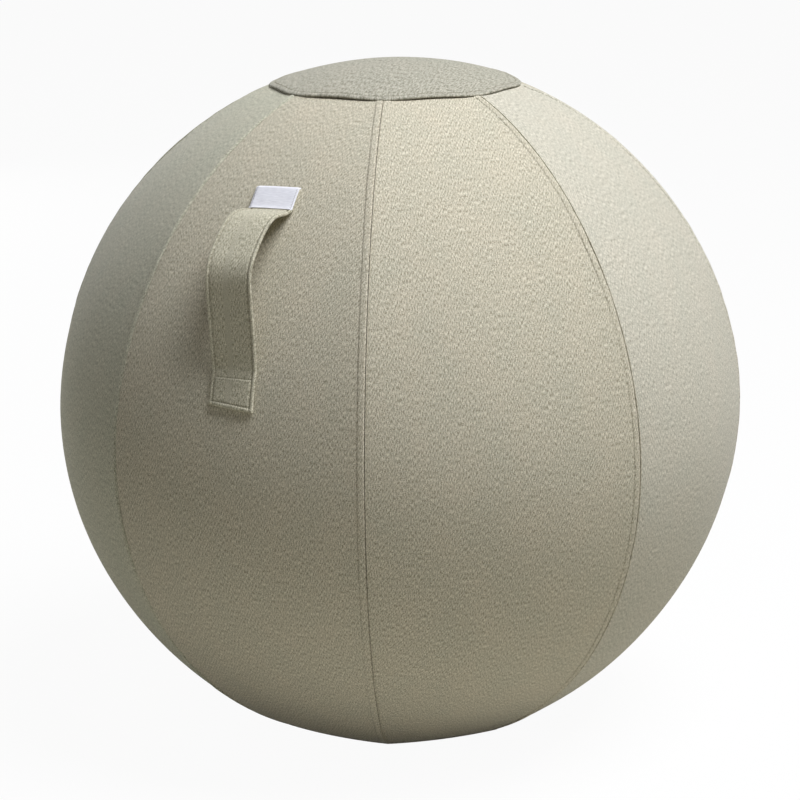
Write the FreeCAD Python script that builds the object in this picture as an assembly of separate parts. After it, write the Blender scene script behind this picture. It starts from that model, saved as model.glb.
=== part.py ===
import FreeCAD, Part
import math
import os

from FreeCAD import Vector

# A sitting ball in a fitted fabric cover: an inflated bladder inside eight sewn panels, a round
# top panel, a flat base with a weighted ring, a zip round the base and a strap handle in front.
# Millimetres, Z up. The origin is the middle of the base's underside, where the ball stands.
# The handle is on the -Y side. Angles are in degrees; a latitude is seen from the ball's centre.

# Ball, measured from its centre along the sewn seams
PANEL_COUNT = 8
SEAM_RADIUS = 325.0
CROWN_HEIGHT = 332.6
KEEL_DEPTH = 327.3
CROWN_POWER = 1.9465
KEEL_POWER = 1.9514
BASE_FLATTENING = 24.3
CENTRE_HEIGHT = KEEL_DEPTH - BASE_FLATTENING

# How much nearer the centre a panel's middle is than its seams, at five latitudes
HOLLOW_SPACING = 35.0
KEEL_HOLLOW = 2.4
LOWER_HOLLOW = 2.5
WAIST_HOLLOW = 4.4
SHOULDER_HOLLOW = 8.0
CROWN_HOLLOW = 2.0

# Panels
COVER_THICKNESS = 2.0
PANEL_FOOT_LATITUDE = -72.0
PANEL_SECTIONS = 15
HEAD_SECTIONS = 4

# Turned-in edges of the seams, pressed to one side
ALLOWANCE_WIDTH = 10.0
ALLOWANCE_THICKNESS = 1.7
ALLOWANCE_CLEARANCE = 0.1
ALLOWANCE_LATITUDE = 60.0

# Top panel; its pole height is measured over its edge
TOP_CORNER_RADIUS = 121.0
TOP_SIDE_RADIUS = 114.0
TOP_POLE_HEIGHT = 19.63
TOP_THICKNESS = 2.2
TOP_CLEARANCE = 0.2
TOP_OVERLAP = 22.0
HEAD_TUCK = 3.4

# Base
FOOT_EDGE_ROUND = 3.0
FOOT_THICKNESS = 2.0
FOOT_WALL_HEIGHT = 9.2

# Weighted ring that stands in the base
RING_INNER_RADIUS = 60.0
RING_HEIGHT = 18.0
RING_CLEARANCE = 4.5
SLEEVE_THICKNESS = 1.6

# Bladder and its valve
BLADDER_GAP = 2.2
BLADDER_WALL = 1.2
BLADDER_FLAT_INSET = 9.0
BLADDER_LIFT_LATITUDE = -54.0
VALVE_RADIUS = 10.0
VALVE_DEPTH = 9.0
PLUG_RADIUS = 4.5
PLUG_LENGTH = 12.0
PLUG_HEAD_RADIUS = 8.0
PLUG_HEAD_THICKNESS = 2.0

# Zip round the base, set in from the panels' lower edge
ZIP_INSET = 15.78
TAPE_HEIGHT = 8.0
TAPE_THICKNESS = 1.2
TEETH_WIDTH = 2.4
TEETH_THICKNESS = 2.4
INNER_TAPE_WIDTH = 10.1
OUTER_TAPE_WIDTH = 9.0
FACING_OVERLAP = 4.5
FACING_THICKNESS = 1.2
FACING_INSET = 0.6
ZIP_START = 95.0
ZIP_SWEEP = 250.0
STOP_LENGTH = 2.0
JOINING_STRIP_WIDTH = 16.0
JOINING_STRIP_THICKNESS = 1.2

# Zip slider and its pull
SLIDER_LENGTH = 12.0
SLIDER_WIDTH = 11.0
SLIDER_PLATE = 1.2
SLIDER_CLEARANCE = 0.5
SLIDER_LIP = 1.2
TAPE_CLEARANCE = 0.4
NECK_WIDTH = 1.6
NECK_LENGTH = 3.0
LUG_WIDTH = 1.1
LUG_LENGTH = 3.0
PIN_RADIUS = 0.6
PIN_DROP = 1.6
PIN_CLEARANCE = 0.08
PULL_SIDE_CLEARANCE = 0.2
PULL_EYE_RADIUS = 1.3
PULL_EYE_WIDTH = 2.6
PULL_LENGTH = 16.0
PULL_WIDTH = 6.0
PULL_THICKNESS = 1.2
PULL_SHANK = 3.2
PULL_DROOP = 8.0

# Handle strap, its path given as latitude and height above the panel
STRAP_WIDTH = 42.0
STRAP_THICKNESS = 2.8
STRAP_TILT = 2.0
STRAP_MIDDLE_LATITUDE = 29.0
STRAP_TOP_LATITUDE = 48.8
STRAP_LEAVES_LATITUDE = 44.8
STRAP_RETURNS_LATITUDE = 18.8
STRAP_FOOT_LATITUDE = 12.8
STRAP_UPPER_BEND = (41.4, 26.6)
STRAP_CREST_BEND = (37.8, 35.1)
STRAP_LOWER_BEND = (31.9, 43.0)
STRAP_KNEE_BEND = (23.4, 13.0)
BEND_SHARE = 0.45
SEWN_SINK = 1.5

# Label over the strap's upper end, and patches sewn inside the panel behind the strap's ends
LABEL_HEIGHT = 25.0
LABEL_THICKNESS = 0.7
PATCH_THICKNESS = 1.4
PATCH_MARGIN = 4.0

FULL_TURN = 360.0
NEAR_POLE = 89.0
FRONT = -90.0
PANEL_NAMES = ("front", "front_right", "right", "rear_right", "rear", "rear_left", "left", "front_left")
PANEL_ANGLE = FULL_TURN / PANEL_COUNT
CENTRE = Vector(0, 0, CENTRE_HEIGHT)
UP = Vector(0, 0, 1)


def save(name, shape):
    """Write one named piece and print what it measures."""
    box = shape.optimalBoundingBox()
    print(f"{name}: {len(shape.Solids)} solid(s), {shape.Volume / 1000:.1f} cm3, valid {shape.isValid()}, "
          f"z {box.ZMin:.1f} to {box.ZMax:.1f}")
    shape.exportStep(f"parts/{name}.step")


def turned(shape, angle):
    """A copy of the shape, turned about the upright axis."""
    copy = shape.copy()
    copy.rotate(Vector(0, 0, 0), UP, angle)
    return copy


def revolved(points, start=0.0, sweep=FULL_TURN):
    """Solid of revolution of a closed outline of (radius, height) corners."""
    outline = Part.makePolygon([Vector(radius, 0, height) for radius, height in points + points[:1]])
    return turned(Part.Face(outline).revolve(Vector(0, 0, 0), UP, sweep), start)


def block(low, high):
    """Box between two corners."""
    return Part.makeBox(high[0] - low[0], high[1] - low[1], high[2] - low[2], Vector(*low))


# Form of the cover


def seam_distance(latitude):
    """How far a seam is from the ball's centre at a latitude."""
    height, power = (CROWN_HEIGHT, CROWN_POWER) if latitude >= 0 else (KEEL_DEPTH, KEEL_POWER)
    level = math.cos(math.radians(latitude)) / SEAM_RADIUS
    rise = abs(math.sin(math.radians(latitude))) / height
    return (level ** power + rise ** power) ** (-1 / power)


def hollow(latitude):
    """How much nearer the centre a panel's middle is, on a smooth curve through the five values."""
    values = (KEEL_HOLLOW, KEEL_HOLLOW, LOWER_HOLLOW, WAIST_HOLLOW,
              SHOULDER_HOLLOW, CROWN_HOLLOW, CROWN_HOLLOW)
    place = min(max(latitude / HOLLOW_SPACING + 2, 0.0), 3.999)
    index = int(place)
    before, low, high, after = values[index:index + 4]
    share = place - index
    rise_low, rise_high = (high - before) / 2, (after - low) / 2
    return (low * (1 + 2 * share) * (1 - share) ** 2 + rise_low * share * (1 - share) ** 2
            + high * share ** 2 * (3 - 2 * share) - rise_high * share ** 2 * (1 - share))


def side_angle(latitude):
    """Half the width of a panel at a latitude, as an angle at the ball's centre."""
    return math.atan(math.tan(math.radians(PANEL_ANGLE / 2)) * math.cos(math.radians(latitude)))


def seam_latitude(latitude):
    """Latitude at which the panel's cross line through a latitude of its middle meets the seam."""
    return math.degrees(math.asin(math.cos(side_angle(latitude)) * math.sin(math.radians(latitude))))


def latitude_where(low, high, reached):
    """Latitude between two others, below which a test holds."""
    for _ in range(40):
        latitude = (low + high) / 2
        if reached(latitude):
            low = latitude
        else:
            high = latitude
    return low


def seam_radius(latitude):
    """Distance from the upright axis to the seam, at the end of a panel's cross line."""
    at = seam_latitude(latitude)
    return seam_distance(at) * math.cos(math.radians(at))


RIM_LATITUDE = latitude_where(0.0, NEAR_POLE, lambda latitude: seam_radius(latitude) > TOP_CORNER_RADIUS)
HEAD_LATITUDE = RIM_LATITUDE + math.degrees(TOP_OVERLAP / CROWN_HEIGHT)


def tuck(latitude):
    """How far a panel's head dips under the edge of the top."""
    return HEAD_TUCK * max(0.0, (latitude - RIM_LATITUDE) / (HEAD_LATITUDE - RIM_LATITUDE)) ** 2


def middle_distance(latitude):
    """How far a panel's middle line is from the ball's centre at a latitude."""
    return seam_distance(latitude) - hollow(latitude) - tuck(latitude)


def skin_point(latitude, share, depth):
    """Point of the panel in the +X direction, this deep under its outer face.

    The share runs from -1 at one seam through 0 in the middle to 1 at the other seam.
    """
    up = math.radians(latitude)
    side = side_angle(latitude)
    seam = seam_distance(seam_latitude(latitude)) - tuck(latitude) - depth
    middle = middle_distance(latitude) - depth
    arc_centre = (seam ** 2 - middle ** 2) / (2 * (seam * math.cos(side) - middle))
    arc_radius = middle - arc_centre
    angle = share * side
    reach = math.sqrt(arc_radius ** 2 - (arc_centre * math.sin(angle)) ** 2)
    distance = arc_centre * math.cos(angle) + math.copysign(reach, arc_radius)
    along = distance * math.cos(angle)
    return Vector(along * math.cos(up), distance * math.sin(angle), CENTRE_HEIGHT + along * math.sin(up))


def skin_section(latitude, share_from, share_to, depth_from, depth_to):
    """Closed outline across the panel, between two shares and two depths."""
    between = (share_from + share_to) / 2
    outer = [skin_point(latitude, share, depth_from) for share in (share_from, between, share_to)]
    inner = [skin_point(latitude, share, depth_to) for share in (share_to, between, share_from)]
    return Part.Wire([Part.Arc(*outer).toShape(), Part.makeLine(outer[2], inner[0]),
                      Part.Arc(*inner).toShape(), Part.makeLine(inner[2], outer[0])])


def spread(low, high, count):
    """Evenly spaced values from low to high."""
    steps = round(count) - 1
    return [low + (high - low) * step / steps for step in range(steps + 1)]


def level_radius(height, share):
    """Distance from the upright axis to the lower half of the panel's outer face at a height."""
    latitude = latitude_where(PANEL_FOOT_LATITUDE, 0.0, lambda at: skin_point(at, share, 0.0).z < height)
    point = skin_point(latitude, share, 0.0)
    return math.hypot(point.x, point.y)


def eight_sided(corner_radius, side_radius, low, high):
    """Upright prism with a slightly swollen side for each panel and a corner on each seam."""
    edges = []
    for index in range(PANEL_COUNT):
        angles = [math.radians(PANEL_ANGLE * (index + offset)) for offset in (-0.5, 0.0, 0.5)]
        radii = (corner_radius, side_radius, corner_radius)
        points = [Vector(r * math.cos(a), r * math.sin(a), low) for r, a in zip(radii, angles)]
        edges.append(Part.Arc(*points).toShape())
    return Part.Face(Part.Wire(edges)).extrude(Vector(0, 0, high - low))


def dome(radius, pole, edge_radius, edge, thickness):
    """Shallow round cap through a pole height and an edge height, cut off at a radius."""
    rise = pole - edge
    bend = (edge_radius ** 2 + rise ** 2) / (2 * rise)

    def height(at, drop):
        return pole - drop - (bend - math.sqrt(bend ** 2 - at ** 2))

    def arc(ends, drop):
        points = [Vector(at, 0, height(at, drop)) for at in (ends[0], radius / 2, ends[1])]
        return Part.Arc(*points).toShape()

    outer = arc((0.0, radius), 0.0)
    inner = arc((radius, 0.0), thickness)
    rim = Part.makeLine(Vector(radius, 0, height(radius, 0.0)), Vector(radius, 0, height(radius, thickness)))
    axis = Part.makeLine(Vector(0, 0, pole - thickness), Vector(0, 0, pole))
    return Part.Face(Part.Wire([outer, rim, inner, axis])).revolve(Vector(0, 0, 0), UP, FULL_TURN)


# Panels, top and seams

FACING_TOP = TAPE_HEIGHT + TAPE_THICKNESS + FACING_THICKNESS
TOP_EDGE = skin_point(RIM_LATITUDE, 1, 0.0).z + TOP_CLEARANCE + TOP_THICKNESS
TOP_POLE = TOP_EDGE + TOP_POLE_HEIGHT
OVERSIZE = 20.0


def top_panel():
    """Shallow cap with a corner over each seam."""
    blank = dome(TOP_CORNER_RADIUS + OVERSIZE, TOP_POLE, TOP_CORNER_RADIUS, TOP_EDGE, TOP_THICKNESS)
    return blank.common(eight_sided(TOP_CORNER_RADIUS, TOP_SIDE_RADIUS, CENTRE_HEIGHT, TOP_POLE + OVERSIZE))


def panel():
    """One panel of the cover, in the +X direction; its head tucks under the top."""
    latitudes = spread(PANEL_FOOT_LATITUDE, RIM_LATITUDE, PANEL_SECTIONS)
    latitudes += spread(RIM_LATITUDE, HEAD_LATITUDE, HEAD_SECTIONS)[1:]
    sections = [skin_section(latitude, -1, 1, 0.0, COVER_THICKNESS) for latitude in latitudes]
    below = block((0.0, -SEAM_RADIUS, -OVERSIZE), (SEAM_RADIUS, SEAM_RADIUS, FACING_TOP))
    return Part.makeLoft(sections, True).cut(below)


def allowance():
    """Turned-in edge along one seam, on the inside of the panel in the +X direction."""
    sections = []
    for latitude in spread(-ALLOWANCE_LATITUDE, ALLOWANCE_LATITUDE, PANEL_SECTIONS):
        near = COVER_THICKNESS + ALLOWANCE_CLEARANCE
        share = 1 - ALLOWANCE_WIDTH / skin_point(latitude, 1, near).y
        sections.append(skin_section(latitude, share, 1, near, near + ALLOWANCE_THICKNESS))
    return Part.makeLoft(sections, True)


one_panel = panel()
one_allowance = allowance()
PANEL_AZIMUTHS = [FRONT + PANEL_ANGLE * index for index in range(PANEL_COUNT)]


def write_cover():
    os.makedirs("parts", exist_ok=True)
    for name, azimuth in zip(PANEL_NAMES, PANEL_AZIMUTHS):
        save(f"cover_panel_{name}", turned(one_panel, azimuth))
    save("seam_allowances", Part.makeCompound([turned(one_allowance, azimuth) for azimuth in PANEL_AZIMUTHS]))
    save("top_panel", top_panel())


# Base, bladder and valve

TEETH_RADIUS = level_radius(FACING_TOP, 0) - ZIP_INSET
FOOT_RADIUS = TEETH_RADIUS - TEETH_WIDTH - INNER_TAPE_WIDTH
RING_OUTER_RADIUS = FOOT_RADIUS - FOOT_THICKNESS - RING_CLEARANCE
SLEEVE_TOP = FOOT_THICKNESS + RING_HEIGHT
BLADDER_FLAT_RADIUS = RING_OUTER_RADIUS - BLADDER_FLAT_INSET


def foot():
    """Shallow pan with a flat underside and a low wall, to which the zip is sewn."""
    pan = Part.makeCylinder(FOOT_RADIUS, FOOT_WALL_HEIGHT)
    lower_rim = [edge for edge in pan.Edges if edge.BoundBox.ZMax < FOOT_WALL_HEIGHT / 2]
    pan = pan.makeFillet(FOOT_EDGE_ROUND, lower_rim)
    inner_radius = FOOT_RADIUS - FOOT_THICKNESS
    return pan.cut(Part.makeCylinder(inner_radius, FOOT_WALL_HEIGHT, Vector(0, 0, FOOT_THICKNESS)))


def ring(inner, outer, low, high):
    """Plain upright ring."""
    return revolved([(inner, low), (outer, low), (outer, high), (inner, high)])


def bladder_profile(inset):
    """Points (radius, height) up the side of the bladder, this far inside its outer face."""
    gap = COVER_THICKNESS + BLADDER_GAP + inset
    points = [(BLADDER_FLAT_RADIUS, SLEEVE_TOP + inset)]
    for latitude in spread(BLADDER_LIFT_LATITUDE, HEAD_LATITUDE, PANEL_SECTIONS):
        distance = middle_distance(latitude) - gap
        up = math.radians(latitude)
        points.append((distance * math.cos(up), CENTRE_HEIGHT + distance * math.sin(up)))
    points.append((0.0, TOP_POLE - TOP_THICKNESS - BLADDER_GAP - inset))
    return [Vector(radius, 0, height) for radius, height in points]


def bladder_solid(inset):
    """Filled form of the bladder, flat where it stands on the weighted ring."""
    points = bladder_profile(inset)
    flat_guard = Vector(points[0].x / 2, 0, points[0].z)
    pole_guard = Vector(-points[-2].x, 0, points[-2].z)
    side = Part.BSplineCurve()
    side.interpolate([flat_guard] + points + [pole_guard])
    side.segment(side.parameter(points[0]), side.parameter(points[-1]))
    base = Vector(0, 0, points[0].z)
    outline = Part.Wire([Part.makeLine(base, points[0]), side.toShape(), Part.makeLine(points[-1], base)])
    return Part.Face(outline).revolve(Vector(0, 0, 0), UP, FULL_TURN)


def write_inside():
    pool = Part.makeCylinder(VALVE_RADIUS, VALVE_DEPTH, Vector(0, 0, SLEEVE_TOP))
    stem = Part.makeCylinder(PLUG_RADIUS, PLUG_LENGTH, Vector(0, 0, SLEEVE_TOP))
    head_start = Vector(0, 0, SLEEVE_TOP - PLUG_HEAD_THICKNESS)
    head = Part.makeCylinder(PLUG_HEAD_RADIUS, PLUG_HEAD_THICKNESS, head_start)
    save("base_pan", foot())
    core = ring(RING_INNER_RADIUS + SLEEVE_THICKNESS, RING_OUTER_RADIUS - SLEEVE_THICKNESS,
                FOOT_THICKNESS + SLEEVE_THICKNESS, SLEEVE_TOP - SLEEVE_THICKNESS)
    save("weight_ring", core)
    sleeve = ring(RING_INNER_RADIUS, RING_OUTER_RADIUS, FOOT_THICKNESS, SLEEVE_TOP)
    save("weight_ring_sleeve", sleeve.cut(core))
    skin = bladder_solid(0.0).cut(bladder_solid(BLADDER_WALL))
    save("bladder", skin.cut(pool))
    save("valve_seat", pool.cut(stem))
    save("valve_plug", stem.fuse(head).removeSplitter())


# Zip

TEETH_LOW = TAPE_HEIGHT + (TAPE_THICKNESS - TEETH_THICKNESS) / 2
TEETH_HIGH = TEETH_LOW + TEETH_THICKNESS
INNER_TEETH = TEETH_RADIUS - TEETH_WIDTH
OUTER_TEETH = TEETH_RADIUS + TEETH_WIDTH
TAPE_TOP = TAPE_HEIGHT + TAPE_THICKNESS
OUTER_TAPE = OUTER_TEETH + OUTER_TAPE_WIDTH
SLIDER_LOW = TEETH_LOW - SLIDER_CLEARANCE
SLIDER_HIGH = TEETH_HIGH + SLIDER_CLEARANCE
SLIDER_ANGLE = math.degrees(SLIDER_LENGTH / TEETH_RADIUS)
STOP_ANGLE = math.degrees(STOP_LENGTH / TEETH_RADIUS)


def zip_row(inner, outer, start, sweep):
    """Part of a row of the zip as a flat curved bar."""
    corners = [(inner, TEETH_LOW), (outer, TEETH_LOW), (outer, TEETH_HIGH), (inner, TEETH_HIGH)]
    return revolved(corners, start, sweep)


def write_zip():
    facing_outline = [level_radius(FACING_TOP, share) - FACING_INSET for share in (1, 0)]
    facing = eight_sided(facing_outline[0], facing_outline[1], TAPE_TOP, FACING_TOP)
    facing_hole = Part.makeCylinder(OUTER_TAPE - FACING_OVERLAP, FACING_TOP)
    save("zip_facing", turned(facing, FRONT).cut(facing_hole))
    save("zip_tape_outer", ring(OUTER_TEETH, OUTER_TAPE, TAPE_HEIGHT, TAPE_TOP))
    save("zip_tape_inner", ring(FOOT_RADIUS, INNER_TEETH, TAPE_HEIGHT, TAPE_TOP))
    save("zip_teeth_inner", zip_row(INNER_TEETH, TEETH_RADIUS, ZIP_START, ZIP_SWEEP))
    save("zip_teeth_outer", zip_row(TEETH_RADIUS, OUTER_TEETH, ZIP_START, ZIP_SWEEP))
    first_stop = ZIP_START - SLIDER_ANGLE / 2 - 1.5 * STOP_ANGLE
    last_stop = ZIP_START + ZIP_SWEEP + SLIDER_ANGLE / 2 + 0.5 * STOP_ANGLE
    stops = [zip_row(INNER_TEETH, TEETH_RADIUS - PIN_CLEARANCE, first_stop, STOP_ANGLE),
             zip_row(TEETH_RADIUS + PIN_CLEARANCE, OUTER_TEETH, first_stop, STOP_ANGLE),
             zip_row(INNER_TEETH, OUTER_TEETH, last_stop, STOP_ANGLE)]
    save("zip_stops", Part.makeCompound(stops))
    strip_low = TAPE_HEIGHT - JOINING_STRIP_THICKNESS
    strip_start = last_stop + 2 * STOP_ANGLE
    strip_sweep = first_stop - STOP_ANGLE - (strip_start - FULL_TURN)
    strip_inner = TEETH_RADIUS - JOINING_STRIP_WIDTH / 2
    strip_outer = TEETH_RADIUS + JOINING_STRIP_WIDTH / 2
    strip = [(strip_inner, strip_low), (strip_outer, strip_low),
             (strip_outer, TAPE_HEIGHT), (strip_inner, TAPE_HEIGHT)]
    save("zip_joining_strip", revolved(strip, strip_start, strip_sweep))
    save("zip_slider", turned(slider(), ZIP_START))
    save("zip_pull", turned(pull(), ZIP_START))


PIN_HEIGHT = SLIDER_LOW - SLIDER_PLATE - PIN_DROP
LUG_OUTER = PULL_EYE_WIDTH / 2 + PULL_SIDE_CLEARANCE + LUG_WIDTH


def slider():
    """Slider round both rows of teeth, with a neck that parts them and lugs under it for the pull."""
    half_width, half_length = SLIDER_WIDTH / 2, SLIDER_LENGTH / 2
    inner, outer = TEETH_RADIUS - half_width, TEETH_RADIUS + half_width
    pieces = [block((inner, -half_length, SLIDER_HIGH), (outer, half_length, SLIDER_HIGH + SLIDER_PLATE)),
              block((inner, -half_length, SLIDER_LOW - SLIDER_PLATE), (outer, half_length, SLIDER_LOW)),
              block((TEETH_RADIUS - NECK_WIDTH / 2, -half_length, SLIDER_LOW),
                    (TEETH_RADIUS + NECK_WIDTH / 2, NECK_LENGTH - half_length, SLIDER_HIGH))]
    for edge in (inner, outer - SLIDER_LIP):
        pieces.append(block((edge, -half_length, SLIDER_LOW),
                            (edge + SLIDER_LIP, half_length, TAPE_HEIGHT - TAPE_CLEARANCE)))
        pieces.append(block((edge, -half_length, TAPE_TOP + TAPE_CLEARANCE),
                            (edge + SLIDER_LIP, half_length, SLIDER_HIGH)))
    for edge in (-LUG_OUTER, LUG_OUTER - LUG_WIDTH):
        pieces.append(block((TEETH_RADIUS + edge, -LUG_LENGTH / 2, PIN_HEIGHT - 2 * PIN_RADIUS),
                            (TEETH_RADIUS + edge + LUG_WIDTH, LUG_LENGTH / 2, SLIDER_LOW - SLIDER_PLATE)))
    pin_start = Vector(TEETH_RADIUS - LUG_OUTER, 0, PIN_HEIGHT)
    pieces.append(Part.makeCylinder(PIN_RADIUS, 2 * LUG_OUTER, pin_start, Vector(1, 0, 0)))
    return pieces[0].fuse(pieces[1:]).removeSplitter()


def pull():
    """Flat tab with an eye round the slider's pin, drooping a little at rest."""
    half_eye = PULL_EYE_WIDTH / 2
    eye_start = Vector(TEETH_RADIUS - half_eye, 0, PIN_HEIGHT)
    eye = Part.makeCylinder(PULL_EYE_RADIUS, PULL_EYE_WIDTH, eye_start, Vector(1, 0, 0))
    low, high = PIN_HEIGHT - PULL_THICKNESS / 2, PIN_HEIGHT + PULL_THICKNESS / 2
    shank = block((TEETH_RADIUS - half_eye, 0, low), (TEETH_RADIUS + half_eye, PULL_SHANK, high))
    half_tab = PULL_WIDTH / 2
    tab = block((TEETH_RADIUS - half_tab, PULL_SHANK, low), (TEETH_RADIUS + half_tab, PULL_LENGTH, high))
    upright = [edge for edge in tab.Edges if edge.BoundBox.ZLength > PULL_THICKNESS / 2]
    tab = tab.makeFillet(PULL_WIDTH / 4, upright)
    bore = Part.makeCylinder(PIN_RADIUS + PIN_CLEARANCE, PULL_EYE_WIDTH, eye_start, Vector(1, 0, 0))
    piece = eye.fuse([shank, tab]).removeSplitter().cut(bore)
    piece.rotate(Vector(TEETH_RADIUS, 0, PIN_HEIGHT), Vector(1, 0, 0), -PULL_DROOP)
    return piece


# Handle


SEWN_ENDS = ((STRAP_LEAVES_LATITUDE, STRAP_TOP_LATITUDE), (STRAP_FOOT_LATITUDE, STRAP_RETURNS_LATITUDE))


def strap_point(latitude, height):
    """Point over the middle line of the panel in the +X direction, this high above it."""
    distance = middle_distance(latitude) + height
    up = math.radians(latitude)
    return Vector(distance * math.cos(up), 0, CENTRE_HEIGHT + distance * math.sin(up))


def strap_runs():
    """The strap's middle line between its sewn ends: straight runs with a tangent arc at each bend."""
    lift = STRAP_THICKNESS / 2
    bends = [STRAP_UPPER_BEND, STRAP_CREST_BEND, STRAP_LOWER_BEND, STRAP_KNEE_BEND]
    stations = [(STRAP_LEAVES_LATITUDE, lift)] + bends + [(STRAP_RETURNS_LATITUDE, lift)]
    points = [strap_point(latitude, height) for latitude, height in stations]
    spans = []
    start = points[0]
    for before, corner, after in zip(points, points[1:], points[2:]):
        reach = BEND_SHARE * min((corner - before).Length, (after - corner).Length)
        into = (before - corner).normalize()
        out_of = (after - corner).normalize()
        half_turn = (math.pi - into.getAngle(out_of)) / 2
        radius = reach / math.tan(half_turn)
        inwards = (into + out_of).normalize()
        on_arc = corner + inwards * (radius / math.cos(half_turn) - radius)
        spans.append((start, corner + into * reach))
        spans.append((corner + into * reach, on_arc, corner + out_of * reach))
        start = corner + out_of * reach
    spans.append((start, points[-1]))
    return spans


def outward(direction, at):
    """Unit normal of a direction in the strap's plane, on the side away from the ball."""
    normal = Vector(direction.z, 0, -direction.x).normalize()
    return normal if normal.dot(at - CENTRE) > 0 else normal * -1


def shifted(span, offset):
    """A run or arc of the strap's middle line moved away from the ball, and its points."""
    if len(span) == 2:
        directions = [span[1] - span[0]] * 2
    else:
        centre = Part.Arc(*span).toShape().Curve.Center
        directions = [Vector(centre.z - point.z, 0, point.x - centre.x) for point in span]
    points = [point + outward(direction, point) * offset for point, direction in zip(span, directions)]
    edge = Part.makeLine(*points) if len(span) == 2 else Part.Arc(*points).toShape()
    return edge, points


def strap_piece(spans):
    """Flat strap along some spans of the middle line, cut square at both ends."""
    pieces = []
    for span in spans:
        low_edge, low = shifted(span, -STRAP_THICKNESS / 2)
        high_edge, high = shifted(span, STRAP_THICKNESS / 2)
        ends = [Part.makeLine(low[-1], high[-1]), Part.makeLine(high[0], low[0])]
        outline = Part.Wire([low_edge, ends[0], high_edge, ends[1]])
        pieces.append(Part.Face(outline).extrude(Vector(0, STRAP_WIDTH, 0)))
    joined = pieces[0].fuse(pieces[1:])
    joined.translate(Vector(0, -STRAP_WIDTH / 2, 0))
    return joined.removeSplitter()


def halved(span):
    """A straight span as two spans that meet in its middle."""
    middle = (span[0] + span[1]) * 0.5
    return (span[0], middle), (middle, span[1])


def sewn_band(low_latitude, high_latitude, low_height, high_height, width):
    """Band along the panel's middle line, between two latitudes and two heights above it."""
    between = (low_latitude + high_latitude) / 2
    latitudes = (low_latitude, between, high_latitude)
    inner = [strap_point(latitude, low_height) for latitude in latitudes]
    outer = [strap_point(latitude, high_height) for latitude in reversed(latitudes)]
    outline = Part.Wire([Part.Arc(*inner).toShape(), Part.makeLine(inner[2], outer[0]),
                         Part.Arc(*outer).toShape(), Part.makeLine(outer[2], inner[0])])
    band = Part.Face(outline).extrude(Vector(0, width, 0))
    band.translate(Vector(0, -width / 2, 0))
    return band


def tilted(shape):
    """The shape turned about the line from the ball's centre through the handle's middle."""
    copy = shape.copy()
    copy.rotate(CENTRE, strap_point(STRAP_MIDDLE_LATITUDE, 0.0) - CENTRE, STRAP_TILT)
    return copy


def sewn(shape):
    """The shape set in place on the front panel, without what would sink into it."""
    return turned(tilted(shape).cut(one_panel), FRONT)


def write_handle():
    spans = strap_runs()
    upper_leg_end, grip_start = halved(spans[2])
    grip_end, lower_leg_start = halved(spans[6])
    ends = [sewn_band(low, high, -SEWN_SINK, STRAP_THICKNESS, STRAP_WIDTH) for low, high in SEWN_ENDS]
    label_top = STRAP_LEAVES_LATITUDE + math.degrees(LABEL_HEIGHT / middle_distance(STRAP_LEAVES_LATITUDE))
    label_face = STRAP_THICKNESS + LABEL_THICKNESS
    label = sewn_band(STRAP_LEAVES_LATITUDE, label_top, STRAP_THICKNESS, label_face, STRAP_WIDTH)
    over_ends = [sewn_band(low, high, -SEWN_SINK, STRAP_WIDTH, STRAP_WIDTH) for low, high in SEWN_ENDS]
    upper_leg = strap_piece(spans[:2] + [upper_leg_end]).cut(over_ends[0])
    lower_leg = strap_piece([lower_leg_start] + spans[7:]).cut(over_ends[1])
    grip = strap_piece([grip_start] + spans[3:6] + [grip_end])
    for name, piece in (("handle_upper_leg", upper_leg), ("handle_lower_leg", lower_leg),
                        ("handle_grip", grip), ("woven_label", label)):
        save(name, turned(tilted(piece), FRONT))
    for name, end in zip(("upper", "lower"), ends):
        save(f"handle_{name}_end", sewn(end))
    patches = []
    margin = math.degrees(PATCH_MARGIN / SEAM_RADIUS)
    patch_width = STRAP_WIDTH + 2 * PATCH_MARGIN
    for low, high in SEWN_ENDS:
        inner = -COVER_THICKNESS - PATCH_THICKNESS
        patches.append(sewn(sewn_band(low - margin, high + margin, inner, -COVER_THICKNESS / 2, patch_width)))
    save("handle_backing_patches", Part.makeCompound(patches))


write_cover()
write_inside()
write_zip()
write_handle()
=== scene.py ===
# %% [markdown]
# # A sitting ball in a sewn cloth cover
# The object is an inflated ball, 65 cm across, inside a fitted cover of heathered cloth. Eight
# panels run from a flat base to a round top piece, and a strap handle is sewn to the front one.
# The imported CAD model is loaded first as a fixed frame: every piece made here takes its place.

# %% Load the frame
import math

import bmesh
import bpy
from mathutils import Matrix, Vector, noise


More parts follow.
